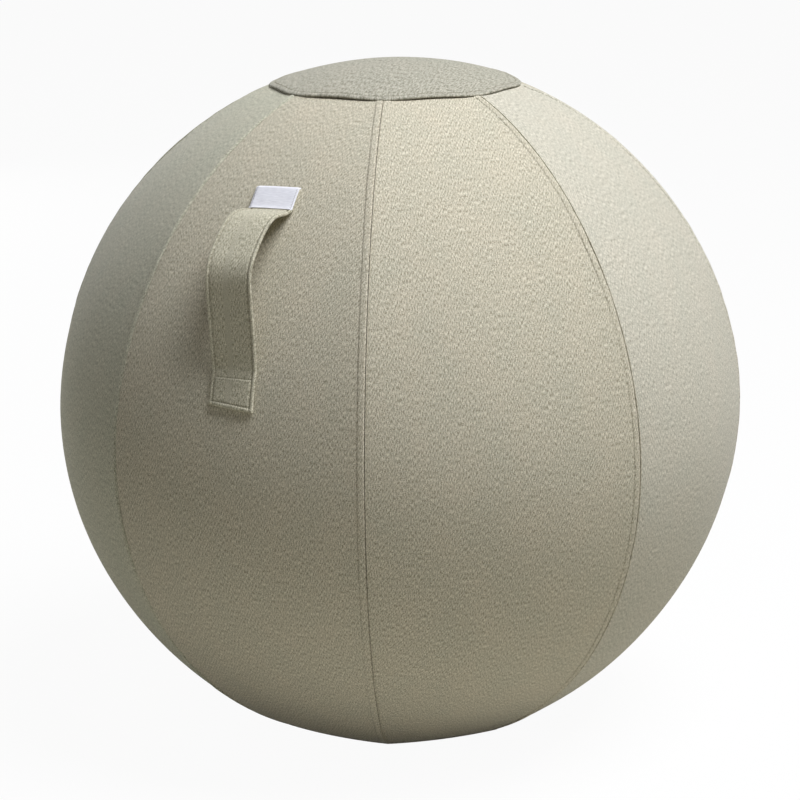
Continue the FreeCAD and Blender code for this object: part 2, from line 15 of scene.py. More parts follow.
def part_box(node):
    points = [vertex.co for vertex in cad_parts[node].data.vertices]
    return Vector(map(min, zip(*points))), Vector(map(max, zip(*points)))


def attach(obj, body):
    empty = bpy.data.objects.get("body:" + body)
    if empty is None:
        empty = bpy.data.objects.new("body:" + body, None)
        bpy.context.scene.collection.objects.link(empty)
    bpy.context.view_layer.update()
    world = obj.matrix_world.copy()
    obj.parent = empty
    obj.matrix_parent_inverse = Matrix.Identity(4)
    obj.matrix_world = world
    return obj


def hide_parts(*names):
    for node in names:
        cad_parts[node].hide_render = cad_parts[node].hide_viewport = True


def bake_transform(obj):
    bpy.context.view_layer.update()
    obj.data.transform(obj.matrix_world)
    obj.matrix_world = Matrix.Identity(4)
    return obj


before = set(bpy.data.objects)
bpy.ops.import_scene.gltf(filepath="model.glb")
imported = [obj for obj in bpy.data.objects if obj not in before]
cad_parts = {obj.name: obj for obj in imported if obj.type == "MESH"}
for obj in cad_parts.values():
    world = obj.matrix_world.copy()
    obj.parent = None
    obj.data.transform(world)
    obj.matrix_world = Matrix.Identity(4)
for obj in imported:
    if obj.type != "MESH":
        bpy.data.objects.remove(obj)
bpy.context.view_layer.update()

MM = 0.001
UP = Vector((0, 0, 1))
STITCH_BATCH = 24

# %% [markdown]
# ## Camera and light
# The photograph looks at the ball's centre from a little above it, with a long lens, so the ball
# is hardly foreshortened. A large soft lamp to the upper right and an even white surround copy
# the studio. The camera comes first, because everything after it is judged through it.

# %% Camera
CENTRE = Vector((0, 0, 0.303))
CAMERA_AZIMUTH, CAMERA_ELEVATION = math.radians(-62.46), math.radians(15.295)
CAMERA_DISTANCE = 2.397
CAMERA_ROLL = math.radians(-0.562)
back = Vector((math.cos(CAMERA_ELEVATION) * math.cos(CAMERA_AZIMUTH),
               math.cos(CAMERA_ELEVATION) * math.sin(CAMERA_AZIMUTH), math.sin(CAMERA_ELEVATION)))
right = UP.cross(back).normalized()
above = back.cross(right)
lens = bpy.data.cameras.new("camera")
lens.lens = 112.5
lens.sensor_width = 36.0
lens.shift_x = 2.0 / 800
lens.shift_y = 1.77 / 800
camera = bpy.data.objects.new("camera", lens)
bpy.context.scene.collection.objects.link(camera)
turn = Matrix((right, above, back)).transposed().to_4x4()
camera.matrix_world = (Matrix.Translation(CENTRE + CAMERA_DISTANCE * back) @ turn
                       @ Matrix.Rotation(CAMERA_ROLL, 4, "Z"))
bpy.context.scene.camera = camera
bpy.context.scene.view_settings.view_transform = "Standard"


# %% Node helpers
def new_material(name):
    """A new material in node form, with its Principled shader."""
    material = bpy.data.materials.new(name)
    material.use_nodes = True
    return material


def add_node(material, kind, inputs=None, **settings):
    """Adds a node, links the sockets that it is given and sets its other values."""
    tree = material.node_tree
    made = tree.nodes.new(kind)
    for name, value in settings.items():
        setattr(made, name, value)
    for key, value in (inputs or {}).items():
        if isinstance(value, bpy.types.NodeSocket):
            tree.links.new(value, made.inputs[key])
        else:
            made.inputs[key].default_value = value
    return made


def srgb(red, green, blue):
    """A colour as seen on screen, from 0 to 255, as the linear values that shaders take."""
    linear = [(c / 12.92 if c <= 0.04045 else ((c + 0.055) / 1.055) ** 2.4)
              for c in (red / 255, green / 255, blue / 255)]
    return (*linear, 1.0)


def two_tones(material, grain, low, high, reach=(0.3, 0.7)):
    """A colour that runs from one tone to another as a grain does."""
    ramp = add_node(material, "ShaderNodeValToRGB", {"Fac": grain})
    for element, place, tone in zip(ramp.color_ramp.elements, reach, (low, high)):
        element.position, element.color = place, tone
    return ramp.outputs[0]


def dress(material, colour, roughness, height=None, strength=0.5, depth=0.0):
    """Gives the shader its colour, a value or a socket, its roughness and its fine relief."""
    shader = material.node_tree.nodes["Principled BSDF"]
    links = material.node_tree.links
    if isinstance(colour, bpy.types.NodeSocket):
        links.new(colour, shader.inputs["Base Color"])
    else:
        shader.inputs["Base Color"].default_value = colour
    shader.inputs["Roughness"].default_value = roughness
    if height:
        bump = add_node(material, "ShaderNodeBump",
                        {"Height": height, "Strength": strength, "Distance": depth})
        links.new(bump.outputs[0], shader.inputs["Normal"])
    return shader


def seen_directly(owner, *kinds):
    """1 for the rays that look straight at the surround, 0 for light that bounces."""
    rays = add_node(owner, "ShaderNodeLightPath")
    seen = rays.outputs[kinds[0]]
    for kind in kinds[1:]:
        seen = add_node(owner, "ShaderNodeMath", {0: seen, 1: rays.outputs[kind]},
                        operation="MAXIMUM").outputs[0]
    return seen


# %% Surround, lamps and floor
world = bpy.data.worlds.new("studio")
bpy.context.scene.world = world
world.use_nodes = True
world.node_tree.nodes.clear()
ambient = add_node(world, "ShaderNodeBackground", {"Color": (1, 1, 1, 1), "Strength": 0.1})
white = add_node(world, "ShaderNodeBackground", {"Color": (1, 1, 1, 1), "Strength": 1.0})
both = add_node(world, "ShaderNodeMixShader",
                {0: seen_directly(world, "Is Camera Ray", "Is Glossy Ray", "Is Transmission Ray"),
                 1: ambient.outputs[0], 2: white.outputs[0]})
add_node(world, "ShaderNodeOutputWorld", {"Surface": both.outputs[0]})
LAMP_DISTANCE = 3.0


def add_lamp(name, bearing, height, size, power, tint):
    """A square soft lamp at a bearing from the camera and a height over the floor, in degrees."""
    bearing, height = math.radians(bearing), math.radians(height)
    level_back = Vector((back.x, back.y, 0)).normalized()
    level = math.cos(bearing) * level_back + math.sin(bearing) * right
    place = CENTRE + LAMP_DISTANCE * (math.cos(height) * level + math.sin(height) * UP)
    lamp = bpy.data.lights.new(name, "AREA")
    lamp.size = size
    lamp.energy = power
    lamp.color = tint
    lit = bpy.data.objects.new(name, lamp)
    lit.matrix_world = (Matrix.Translation(place)
                        @ (place - CENTRE).to_track_quat("Z", "Y").to_matrix().to_4x4())
    bpy.context.scene.collection.objects.link(lit)


add_lamp("key_lamp", bearing=62, height=65, size=1.6, power=106, tint=(0.98, 1.0, 1.04))
add_lamp("rim_lamp", bearing=-145, height=10, size=1.8, power=22, tint=(1, 1, 1))

floor_material = new_material("pale_floor")
floor_material.node_tree.nodes.clear()
grey = add_node(floor_material, "ShaderNodeBsdfDiffuse", {"Color": (0.62, 0.6, 0.52, 1)})
pale = add_node(floor_material, "ShaderNodeBsdfDiffuse", {"Color": (0.9, 0.9, 0.9, 1)})
glow = add_node(floor_material, "ShaderNodeEmission", {"Color": (1, 1, 1, 1), "Strength": 1.0})
mixed = add_node(floor_material, "ShaderNodeMixShader", {0: 0.95, 1: pale.outputs[0], 2: glow.outputs[0]})
floor_both = add_node(floor_material, "ShaderNodeMixShader",
                      {0: seen_directly(floor_material, "Is Camera Ray", "Is Glossy Ray"),
                       1: grey.outputs[0], 2: mixed.outputs[0]})
add_node(floor_material, "ShaderNodeOutputMaterial", {"Surface": floor_both.outputs[0]})


# %% Mesh helpers
def as_piece(name, bm, *materials):
    """Turns a bmesh into an object at the origin, smooth, with its materials."""
    mesh = bpy.data.meshes.new(name)
    bm.to_mesh(mesh)
    bm.free()
    for material in materials:
        mesh.materials.append(material)
    mesh.shade_smooth()
    piece = bpy.data.objects.new(name, mesh)
    bpy.context.scene.collection.objects.link(piece)
    return piece


def stands_for(piece, body, slot, *nodes):
    """The piece rides on a body and hides the CAD nodes it replaces. Its slot is not used."""
    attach(piece, body)
    if nodes:
        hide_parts(*nodes)
    return piece


def woven_grid(columns, rows, place):
    """A grid whose corners get the point and the UV that place(column, row) gives."""
    bm = bmesh.new()
    bmesh.ops.create_grid(bm, x_segments=columns, y_segments=rows, size=0.5)
    layer = bm.loops.layers.uv.new("Cloth")
    seats = {vert: place(round((vert.co.x + 0.5) * columns), round((vert.co.y + 0.5) * rows))
             for vert in bm.verts}
    for face in bm.faces:
        for loop in face.loops:
            loop[layer].uv = seats[loop.vert][1]
    for vert, (point, _) in seats.items():
        vert.co = point
    return bm


def closed_tube(columns, rows, place):
    """A grid whose first and last columns meet, with its two ends closed."""
    bm = woven_grid(columns, rows, place)
    bmesh.ops.remove_doubles(bm, verts=bm.verts, dist=2e-6)
    bmesh.ops.holes_fill(bm, edges=bm.edges)
    bmesh.ops.recalc_face_normals(bm, faces=bm.faces)
    return bm


def spun(profile, steps):
    """Turns a line of (radius, height) points in mm once round the upright axis."""
    bm = bmesh.new()
    verts = [bm.verts.new((radius * MM, 0, height * MM)) for radius, height in profile]
    edges = [bm.edges.new(pair) for pair in zip(verts, verts[1:])]
    bmesh.ops.spin(bm, geom=verts + edges, cent=(0, 0, 0), axis=UP, angle=2 * math.pi,
                   steps=steps, use_merge=True)
    bmesh.ops.remove_doubles(bm, verts=bm.verts, dist=1e-6)
    bmesh.ops.recalc_face_normals(bm, faces=bm.faces)
    return bm


def cloth_round(bm, radius):
    """UV for a flat ring of cloth: across it and along it."""
    layer = bm.loops.layers.uv.new("Cloth")
    for face in bm.faces:
        middle = face.calc_center_median()
        base = math.atan2(middle.y, middle.x)
        for loop in face.loops:
            x, y, z = loop.vert.co
            around = base + math.remainder(math.atan2(y, x) - base, 2 * math.pi)
            loop[layer].uv = (math.hypot(x, y) + z, around * radius * MM)


def cloth_flat(bm, across=0.0):
    """UV for a piece cut flat: its plan."""
    layer = bm.loops.layers.uv.new("Cloth")
    for face in bm.faces:
        for loop in face.loops:
            loop[layer].uv = (loop.vert.co.x + across, loop.vert.co.y)


def smooth(value):
    """0 below 0, 1 above 1 and a soft step between."""
    value = min(max(value, 0.0), 1.0)
    return value * value * (3 - 2 * value)


def hill(value, width):
    """1 at 0, falling softly to both sides."""
    return math.exp(-(value / width) ** 2)


def take_in(bm, part):
    """Moves a bmesh into another one."""
    carried = bpy.data.meshes.new("carried")
    part.to_mesh(carried)
    part.free()
    bm.from_mesh(carried)
    bpy.data.meshes.remove(carried)


def sew(bm, stitches, width, height, material=0):
    """Adds stitches, small round-ended bars of thread, each given as (start, end, normal).

    They are made in short batches, because an operator walks the whole bmesh each time."""
    for first in range(0, len(stitches), STITCH_BATCH):
        batch = bmesh.new()
        batch.loops.layers.uv.new("Cloth")
        for start, end, normal in stitches[first:first + STITCH_BATCH]:
            along = end - start
            across = normal.cross(along).normalized()
            lift = along.cross(across).normalized()
            shape = Matrix((across * width, lift * height, along)).transposed().to_4x4()
            bmesh.ops.create_uvsphere(batch, u_segments=6, v_segments=5, radius=0.5,
                                      matrix=Matrix.Translation((start + end) / 2) @ shape)
        for face in batch.faces:
            face.material_index = material
        take_in(bm, batch)


# %% [markdown]
# ## Heathered cloth
# The cover is woven from yarns spun of green-grey and beige fibres, so it looks like one colour
# from afar and like fine upright streaks and flecks from near. A picture could show that, but it
# would end at its edges. Noise stretched along the warp gives the streaks at any size, and a fine
# diagonal wave gives the twill. Both read each piece's own UV, laid out in metres along the cloth.

# %% Cloth material
WARP_SLUB = (0.0008, 0.0036)
FLECK = (0.001, 0.0014)
FIBRE = (0.0006, 0.0009)
TWILL_PITCH = 0.0024
TWILL_TONE, TWILL_SLANT = 0.14, math.radians(32)
SHADE_RANGE = (0.6, 1.54)
TINT_SPREAD = (0.035, 0.055)


def make_cloth(name, dark, cool, warm, pale_yarn, streak=1.0, coarse=1.0):
    """Heathered twill of four yarn colours."""
    material = new_material(name)
    uv = add_node(material, "ShaderNodeUVMap", uv_map="Cloth").outputs["UV"]

    def grain(size, detail, low, high):
        scaled = add_node(material, "ShaderNodeMapping",
                          {"Vector": uv, "Scale": (1 / size[0] / coarse, 1 / size[1] / coarse, 1)})
        speckle = add_node(material, "ShaderNodeTexNoise",
                           {"Vector": scaled.outputs[0], "Scale": 1.0, "Detail": detail,
                            "Roughness": 0.6})
        return add_node(material, "ShaderNodeMapRange",
                        {"Value": speckle.outputs["Fac"], "From Min": low, "From Max": high}).outputs[0]

    def combined(operation, first, second):
        return add_node(material, "ShaderNodeMath", {0: first, 1: second}, operation=operation).outputs[0]

    def between(share, low, high):
        return add_node(material, "ShaderNodeMix", {"Factor": share, 6: low, 7: high},
                        data_type="RGBA").outputs[2]

    slub = grain(WARP_SLUB, 2.0, 0.30, 0.70)
    fleck = grain(FLECK, 2.0, 0.30, 0.70)
    fibre = grain(FIBRE, 1.0, 0.25, 0.75)
    tint = grain(TINT_SPREAD, 3.0, 0.30, 0.70)
    slanting = add_node(material, "ShaderNodeMapping",
                        {"Vector": uv, "Rotation": (0, 0, TWILL_SLANT),
                         "Scale": (1 / TWILL_PITCH, 1 / TWILL_PITCH, 1)})
    twill = add_node(material, "ShaderNodeTexWave",
                     {"Vector": slanting.outputs[0], "Scale": math.pi / 10, "Distortion": 0.6,
                      "Detail": 1.0}).outputs["Fac"]
    ground = between(combined("MULTIPLY", combined("ADD", fleck, tint), 0.5), cool, warm)
    shade = combined("ADD", combined("ADD", slub, fibre), combined("MULTIPLY", twill, TWILL_TONE))
    shade = add_node(material, "ShaderNodeMapRange",
                     {"Value": shade, "From Min": SHADE_RANGE[0], "From Max": SHADE_RANGE[1],
                      "To Min": -streak, "To Max": streak}).outputs[0]
    lit = between(combined("MAXIMUM", shade, 0.0), ground, pale_yarn)
    darker = combined("MAXIMUM", combined("MULTIPLY", shade, -1.0), 0.0)
    shaded = between(darker, lit, dark)
    height = combined("ADD", combined("ADD", twill, fibre), slub)
    shader = dress(material, shaded, 0.92, height, 0.5, 0.00012)
    shader.inputs["Specular IOR Level"].default_value = 0.25
    shader.inputs["Sheen Weight"].default_value = 0.12
    shader.inputs["Sheen Roughness"].default_value = 0.5
    return material


cover_cloth = make_cloth("cover_cloth", srgb(142, 136, 116), srgb(184, 181, 161),
                         srgb(207, 195, 172), srgb(232, 226, 208))
cover_cloth_green = make_cloth("cover_cloth_green", srgb(142, 141, 121), srgb(180, 182, 162),
                               srgb(201, 195, 174), srgb(229, 226, 207))
# a lighter, less yellow copy of the cover cloth for the right panel, which faces the key lamp: painted
# light
cover_cloth_painted_light = make_cloth("cover_cloth_painted_light", srgb(146, 142, 125), srgb(186, 185, 169),
                               srgb(207, 198, 180), srgb(232, 227, 212))
top_cloth = make_cloth("top_cloth", srgb(124, 122, 107), srgb(158, 158, 142),
                       srgb(176, 169, 153), srgb(200, 196, 181), streak=1.15, coarse=1.6)
strap_cloth = make_cloth("strap_cloth", srgb(136, 132, 111), srgb(178, 175, 153),
                         srgb(198, 190, 167), srgb(226, 221, 201))
seam_thread = new_material("seam_thread")
dress(seam_thread, srgb(150, 144, 125), 0.7)

# %% [markdown]
# ## The ball's form
# Seen along a seam the ball is nearly a circle, a little squashed, and the cloth between two seams
# is pulled flatter. The same few sizes as in the CAD source say where any point of a panel is: a
# latitude, a share across the panel from seam to seam, and a lift over its face.

# %% Panel form
SEAM_RADIUS, CROWN_HEIGHT, KEEL_DEPTH = 0.325, 0.3326, 0.3273
CROWN_POWER, KEEL_POWER = 1.9465, 1.9514
HOLLOWS = [value * MM for value in (2.4, 2.4, 2.5, 4.4, 8.0, 2.0, 2.0)]
HALF_PANEL = math.radians(22.5)
RIM, HEAD = math.radians(70.23), math.radians(74.02)
HEAD_TUCK = 3.4 * MM
FOOT_HEIGHT = 10.4 * MM


def seam_distance(latitude):
    """How far a seam is from the ball's centre."""
    height, power = (CROWN_HEIGHT, CROWN_POWER) if latitude >= 0 else (KEEL_DEPTH, KEEL_POWER)
    level, rise = math.cos(latitude) / SEAM_RADIUS, abs(math.sin(latitude)) / height
    return (level ** power + rise ** power) ** (-1 / power)


def hollow(latitude):
    """How much nearer the centre a panel's middle is."""
    place = min(max(math.degrees(latitude) / 35 + 2, 0.0), 3.999)
    index = int(place)
    before, low, high, after = HOLLOWS[index:index + 4]
    t = place - index
    return (low * (1 + 2 * t) * (1 - t) ** 2 + (high - before) / 2 * t * (1 - t) ** 2
            + high * t ** 2 * (3 - 2 * t) - (after - low) / 2 * t ** 2 * (1 - t))


def half_width(latitude):
    """From a panel's middle to its seam, as an angle at the centre and as a length."""
    side = math.atan(math.tan(HALF_PANEL) * math.cos(latitude))
    return side, side * seam_distance(latitude)


def panel_point(latitude, share, lift=0.0):
    """Point of the panel that faces +X: share runs from -1 at one seam to 1 at the other."""
    side, _ = half_width(latitude)
    tuck = HEAD_TUCK * max(0.0, (latitude - RIM) / (HEAD - RIM)) ** 2
    seam = seam_distance(math.asin(math.cos(side) * math.sin(latitude))) - tuck + lift
    middle = seam_distance(latitude) - hollow(latitude) - tuck + lift
    arc_centre = (seam ** 2 - middle ** 2) / (2 * (seam * math.cos(side) - middle))
    reach = math.sqrt((middle - arc_centre) ** 2 - (arc_centre * math.sin(share * side)) ** 2)
    distance = arc_centre * math.cos(share * side) + math.copysign(reach, middle - arc_centre)
    along = distance * math.cos(share * side)
    return Vector((along * math.cos(latitude), distance * math.sin(share * side),
                   CENTRE.z + along * math.sin(latitude)))


def turned(point, azimuth):
    """The point turned about the upright axis."""
    return Matrix.Rotation(azimuth, 3, "Z") @ point


def foot_latitude(share):
    """Latitude where a panel reaches the zip's facing."""
    low, high = math.radians(-74), 0.0
    for _ in range(30):
        middle = (low + high) / 2
        low, high = (middle, high) if panel_point(middle, share).z < FOOT_HEIGHT else (low, middle)
    return low


# where the cover sits a little slack: bearing, latitude, depth in mm, and both widths, in degrees
SLACK = ((-159.5, 55, 3.3, 45, 38), (32, -32, 1.4, 55, 35), (0, 90, 1.6, 500, 22), (25, 71, 2.0, 35, 5))


def settled(point):
    """The point drawn in where the cover is slack."""
    arm = point - CENTRE
    bearing = math.degrees(math.atan2(arm.y, arm.x))
    latitude = math.degrees(math.atan2(arm.z, math.hypot(arm.x, arm.y)))
    depth = sum(depth * hill(math.remainder(bearing - there, 360), wide) * hill(latitude - up, tall)
                for there, up, depth, wide, tall in SLACK)
    return point - arm.normalized() * depth * MM


def settle(bm):
    """Draws in a whole piece."""
    for vert in bm.verts:
        vert.co = settled(vert.co)
    return bm


PANELS = ["front", "front_right", "right", "rear_right", "rear", "rear_left", "left", "front_left"]
PANEL_AZIMUTHS = [math.radians(-90 + 45 * index) for index in range(8)]
node_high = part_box("cover_panel_right")[1]
form = panel_point(0, 0)
print("panel middle", round(form.x, 4), "CAD", round(node_high.x, 4))

# %% [markdown]
# ## Panels
# Each panel is one piece of cloth. A grid is a good start, because it has the cloth's own two
# directions: its columns crowd towards the seams, where the shape is fine, and its rows follow the
# panel's length. At its right edge the turned-in cloth lies under the panel and is stitched down,
# so that edge is a low raised band with a groove along the stitching.

# %% Relief along the seams
EDGE_COLUMNS = [0, 0.3, 0.7, 1.1, 1.6, 2.4, 3.6, 4.8, 5.6, 6.1, 6.6, 7.1, 7.9, 9.6, 13, 18.5]
MIDDLE_COLUMNS = 16
COLUMNS = 2 * (len(EDGE_COLUMNS) - 1) + MIDDLE_COLUMNS
PANEL_ROWS = 264
STITCH_INSET = 6.6
BAND_RISE, BAND_EASE = 0.7, 1.6
PUCKER_DEPTH, PUCKER_REACH, PUCKER_LENGTH, PUCKER_WIDTH = 0.5, 14, 13, 22
WAVE_DEPTH, WAVE_LENGTH, WAVE_WIDTH = 0.6, 120, 90
PLAIN_DROP, PLAIN_REACH = 1.7, 0.55
BAND_DROP, BAND_REACH = 1.9, 0.5
GROOVE_DEPTH, GROOVE_PUCKER, GROOVE_WIDTH = 0.4, 0.2, 0.6
CLOTH_SHIFT = 0.7


def relief(plain, banded, along, index):
    """Lift of the cloth in mm, from the distances to its left and right seams and its length."""
    near = min(plain, banded)
    side = index * 5.3 + (plain < banded) * 2
    pucker = noise.noise(Vector((along / PUCKER_LENGTH, near / PUCKER_WIDTH, side)))
    lift = PUCKER_DEPTH * pucker * math.exp(-near / PUCKER_REACH)
    lift += WAVE_DEPTH * noise.noise(Vector((along / WAVE_LENGTH, plain / WAVE_WIDTH, index * 3.1)))
    lift -= PLAIN_DROP * math.exp(-plain / PLAIN_REACH)
    lift += BAND_RISE * smooth((STITCH_INSET + 1.0 - banded) / BAND_EASE)
    lift -= (GROOVE_DEPTH + GROOVE_PUCKER * pucker) * hill(banded - STITCH_INSET, GROOVE_WIDTH)
    lift -= BAND_DROP * math.exp(-banded / BAND_REACH)
    return lift


def edge_share(column, latitude):
    """Share across the panel of a column: fixed distances at the seams, even between them."""
    width = half_width(latitude)[1] / MM
    inner = len(EDGE_COLUMNS) - 1
    if column <= inner:
        return -1 + EDGE_COLUMNS[column] / width
    if column >= COLUMNS - inner:
        return 1 - EDGE_COLUMNS[COLUMNS - column] / width
    edge = 1 - EDGE_COLUMNS[inner] / width
    return -edge + 2 * edge * (column - inner) / MIDDLE_COLUMNS


foot_latitudes = [foot_latitude(edge_share(column, math.radians(-64))) for column in range(COLUMNS + 1)]


def panel_seat(column, row, index):
    """Latitude, share and lift of one corner of a panel's grid."""
    foot = foot_latitudes[column]
    latitude = foot + (HEAD - foot) * row / PANEL_ROWS
    share = edge_share(column, latitude)
    width = half_width(latitude)[1] / MM
    plain, banded = (1 + share) * width, (1 - share) * width
    return latitude, share, relief(plain, banded, latitude * SEAM_RADIUS / MM, index)


# %% Make the panels
# the front-left and left panels take a greener tint; the right panel takes the lighter copy with painted
# light
PANEL_CLOTHS = {"front_left": cover_cloth_green, "left": cover_cloth_green,
                "right": cover_cloth_painted_light, "front_right": cover_cloth}
CLOTH_THICKNESS = 1.6 * MM
for index, (name, azimuth) in enumerate(zip(PANELS, PANEL_AZIMUTHS)):
    def place(column, row):
        latitude, share, lift = panel_seat(column, row, index)
        return (settled(turned(panel_point(latitude, share, lift * MM), azimuth)),
                (share * half_width(latitude)[1] + CLOTH_SHIFT * index, latitude * SEAM_RADIUS))

    bm = woven_grid(COLUMNS, PANEL_ROWS, place)
    piece = as_piece(f"panel_{name}", bm, PANEL_CLOTHS.get(name, cover_cloth))
    wall = piece.modifiers.new("Cloth thickness", "SOLIDIFY")
    wall.thickness = CLOTH_THICKNESS
    wall.offset = -1.0
    stands_for(piece, "root", "cover_fabric", f"cover_panel_{name}")
print("panels", len(PANELS), "faces each", len(piece.data.polygons))

# %% [markdown]
# ## Seams
# A seam shows as a fine dark line with a light rolled lip on its right and, 7 mm to its left, a row
# of stitches. The lip is a slim bead that is pinched where each hidden stitch pulls it. The stitches
# are small bars of thread, each dipping into the groove at its ends.

# %% Make the seams
SEAM_PITCH = 3.3
LIP_STEP, LIP_INSET, LIP_SINK = 0.8, 0.75, 0.1
LIP_AT_TOP, LIP_GAIN, LIP_PINCH = 0.42, 0.26, 0.22
STITCH_LENGTH, THREAD_WIDTH, THREAD_HEIGHT = 2.5 * MM, 0.62 * MM, 0.5 * MM


def at_seam(latitude, inset, lift, side=1):
    """Point of a panel at a distance in mm from its right seam, or from its left one."""
    share = side * (1 - inset / (half_width(latitude)[1] / MM))
    return panel_point(latitude, share, lift * MM)


def lip_radius(latitude, along):
    """The lip is thinner towards the top and pinched at every stitch."""
    full = LIP_AT_TOP + LIP_GAIN * smooth((math.radians(30) - latitude) / math.radians(60))
    return full * (1 - LIP_PINCH * max(0.0, math.cos(2 * math.pi * along / SEAM_PITCH)) ** 2)


LIP_ROWS = round((RIM - foot_latitudes[-1]) * SEAM_RADIUS / MM / LIP_STEP)
LIP_SIDES = 7
for index, (name, azimuth) in enumerate(zip(PANELS, PANEL_AZIMUTHS)):
    def place(column, row):
        latitude = foot_latitudes[-1] + (RIM - foot_latitudes[-1]) * row / LIP_ROWS
        round_it = 2 * math.pi * column / LIP_SIDES
        radius = lip_radius(latitude, latitude * SEAM_RADIUS / MM)
        point = at_seam(latitude, LIP_INSET - radius * math.cos(round_it),
                        radius * math.sin(round_it) - LIP_SINK, -1)
        uv = (column * 0.0004 + CLOTH_SHIFT * index, row * LIP_STEP * MM)
        return turned(point, azimuth + 2 * HALF_PANEL), uv

    bm = closed_tube(LIP_SIDES, LIP_ROWS, place)
    latitude = foot_latitudes[-1] + 0.004
    stitches = []
    while latitude < RIM - 0.01:
        ends = [turned(at_seam(at, STITCH_INSET, 0.05), azimuth)
                for at in (latitude, latitude + STITCH_LENGTH / SEAM_RADIUS)]
        stitches.append((*ends, ends[0] - CENTRE))
        latitude += SEAM_PITCH * MM / SEAM_RADIUS
    sew(bm, stitches, THREAD_WIDTH, THREAD_HEIGHT, 1)
    piece = as_piece(f"seam_{name}", settle(bm), PANEL_CLOTHS.get(name, cover_cloth), seam_thread)
    stands_for(piece, "root", "cover_fabric")
print("seam faces", len(piece.data.polygons))

# %% [markdown]
# ## Top piece
# The top is a shallow cap with a soft corner over each seam. Its edge is turned under and
# stitched, so the rim is a low roll that casts a thin shadow on the panels. A profile spun round
# the axis gives the cap, and its outline is then pulled in between the corners.

# %% Cap form
CAP_RADIUS, CAP_CORNER = 116.2, 1.9
OUTER_RADIUS = CAP_RADIUS + CAP_CORNER
POLE, EDGE = 631.7, 612.5
CAP_STITCH = 5.4
cap_bend = (OUTER_RADIUS ** 2 + (POLE - EDGE) ** 2) / (2 * (POLE - EDGE))
PINCH_AZIMUTH, PINCH_RISE = math.radians(-84.5), 0.9
RIM_RISE, RIM_GROOVE, RIM_PUCKER = 0.12, 0.28, 0.2


def cap_outline(azimuth):
    """Distance from the axis to the cap's edge: a soft corner over each seam."""
    return CAP_RADIUS - CAP_CORNER * math.cos(8 * azimuth)


def cap_height(radius):
    """Height of the cap's face at a distance from the axis."""
    return POLE - cap_bend + math.sqrt(cap_bend ** 2 - radius ** 2)


def cap_relief(inset, azimuth):
    """Lift of the cap's face in mm near its edge."""
    pucker = noise.noise(Vector((azimuth * 9, inset / 20, 7.7)))
    lift = RIM_RISE * smooth((CAP_STITCH + 1 - inset) / 2)
    lift -= (RIM_GROOVE + RIM_PUCKER * pucker) * hill(inset - CAP_STITCH, 0.7)
    lift += 0.4 * pucker * hill(inset - 2, 5)
    around = math.remainder(azimuth - PINCH_AZIMUTH, 2 * math.pi) * OUTER_RADIUS
    lift += PINCH_RISE * hill(around, 6.5) * hill(inset - CAP_STITCH - 2.2, 1.1)
    return lift


# inset from the edge, and depth under the face, from the pole outwards and back underneath
CAP_FACE = ([OUTER_RADIUS - radius for radius in (0, 2, 6, 12, 20, 30, 40, 50, 60, 70, 79, 87, 94, 100)]
            + [16, 13, 11, 9.5, 8.4, 7.6, 6.8, 6.2, 5.8, 5.4, 5.0, 4.6, 4.0, 3.2, 2.2, 1.5])
CAP_UNDERSIDE = [(0.9, 0.12), (0.4, 0.4), (0.1, 0.8), (0.0, 1.2), (0.1, 1.6), (0.5, 2.0), (1.2, 2.2),
                 (3, 2.2), (8, 2.2), (14, 2.2), (16, 2.0), (30, 2.0), (60, 2.0), (90, 2.0),
                 (OUTER_RADIUS, 2.0)]
CAP_PROFILE = [(inset, 0.0) for inset in CAP_FACE] + CAP_UNDERSIDE

# %% Make the top piece
bm = spun([(OUTER_RADIUS - inset, -under) for inset, under in CAP_PROFILE], 288)
for vert in bm.verts:
    azimuth = math.atan2(vert.co.y, vert.co.x)
    inset = OUTER_RADIUS - math.hypot(vert.co.x, vert.co.y) / MM
    share = max(0.0, 1 - inset / 60)
    radius = OUTER_RADIUS - inset + (cap_outline(azimuth) - OUTER_RADIUS) * share
    face = cap_height(radius) + vert.co.z / MM
    if vert.co.z > -1.3 * MM:
        face += cap_relief(inset, azimuth)
    vert.co = Vector((radius * math.cos(azimuth), radius * math.sin(azimuth), face)) * MM
cloth_flat(bm, 9.0)
top_piece = stands_for(as_piece("top_piece", settle(bm), top_cloth), "root", "cover_fabric", "top_panel")
print("top piece faces", len(top_piece.data.polygons))

# %% Stitching round the top piece
bm = bmesh.new()
TOP_STITCHES = 240
stitches = []
for number in range(TOP_STITCHES):
    angles = [2 * math.pi * (number + part) / TOP_STITCHES for part in (0.0, 0.76)]
    radii = [cap_outline(angle) - CAP_STITCH for angle in angles]
    ends = [Vector((r * math.cos(a), r * math.sin(a), cap_height(r) - 0.05)) * MM
            for r, a in zip(radii, angles)]
    stitches.append((*ends, UP))
sew(bm, stitches, THREAD_WIDTH, THREAD_HEIGHT)
stands_for(as_piece("top_stitching", settle(bm), seam_thread), "root", "cover_fabric")

# %% [markdown]
# ## Strap handle
# The handle is a flat strap of doubled cloth. It leaves the ball under the label, swings out into
# a loop for the hand, comes back and ends in a folded, boxed tab. Both long edges are overcast, so
# they stand up as thin twisted ribs with a stitch line inside. One closed cross-section is carried
# along the strap's line. The loop is cut into three pieces, because the middle moves with the
# hand; the two legs lie between it and the ball.

# %% The strap's line
LIFT = 1.4
TOP_RUN, LEAVES = (50.6, 49.4, 48.2, 47.0, 45.8), 44.8
STRAP_BENDS = [(41.4, 26.6), (37.8, 35.1), (31.9, 43.0), (23.4, 13.0)]
RETURNS, FOOT_RUN = 18.8, (17.6, 16.4, 15.2, 14.0, 12.8, 11.6)
STRAP_TOP, HEM, STRAP_FOOT = 48.8, 17.4, 12.8
BEND_SHARE = 0.45
STRAP_TILT = math.radians(2)
FRONT = math.radians(-90)
LINE_STEP = 0.45


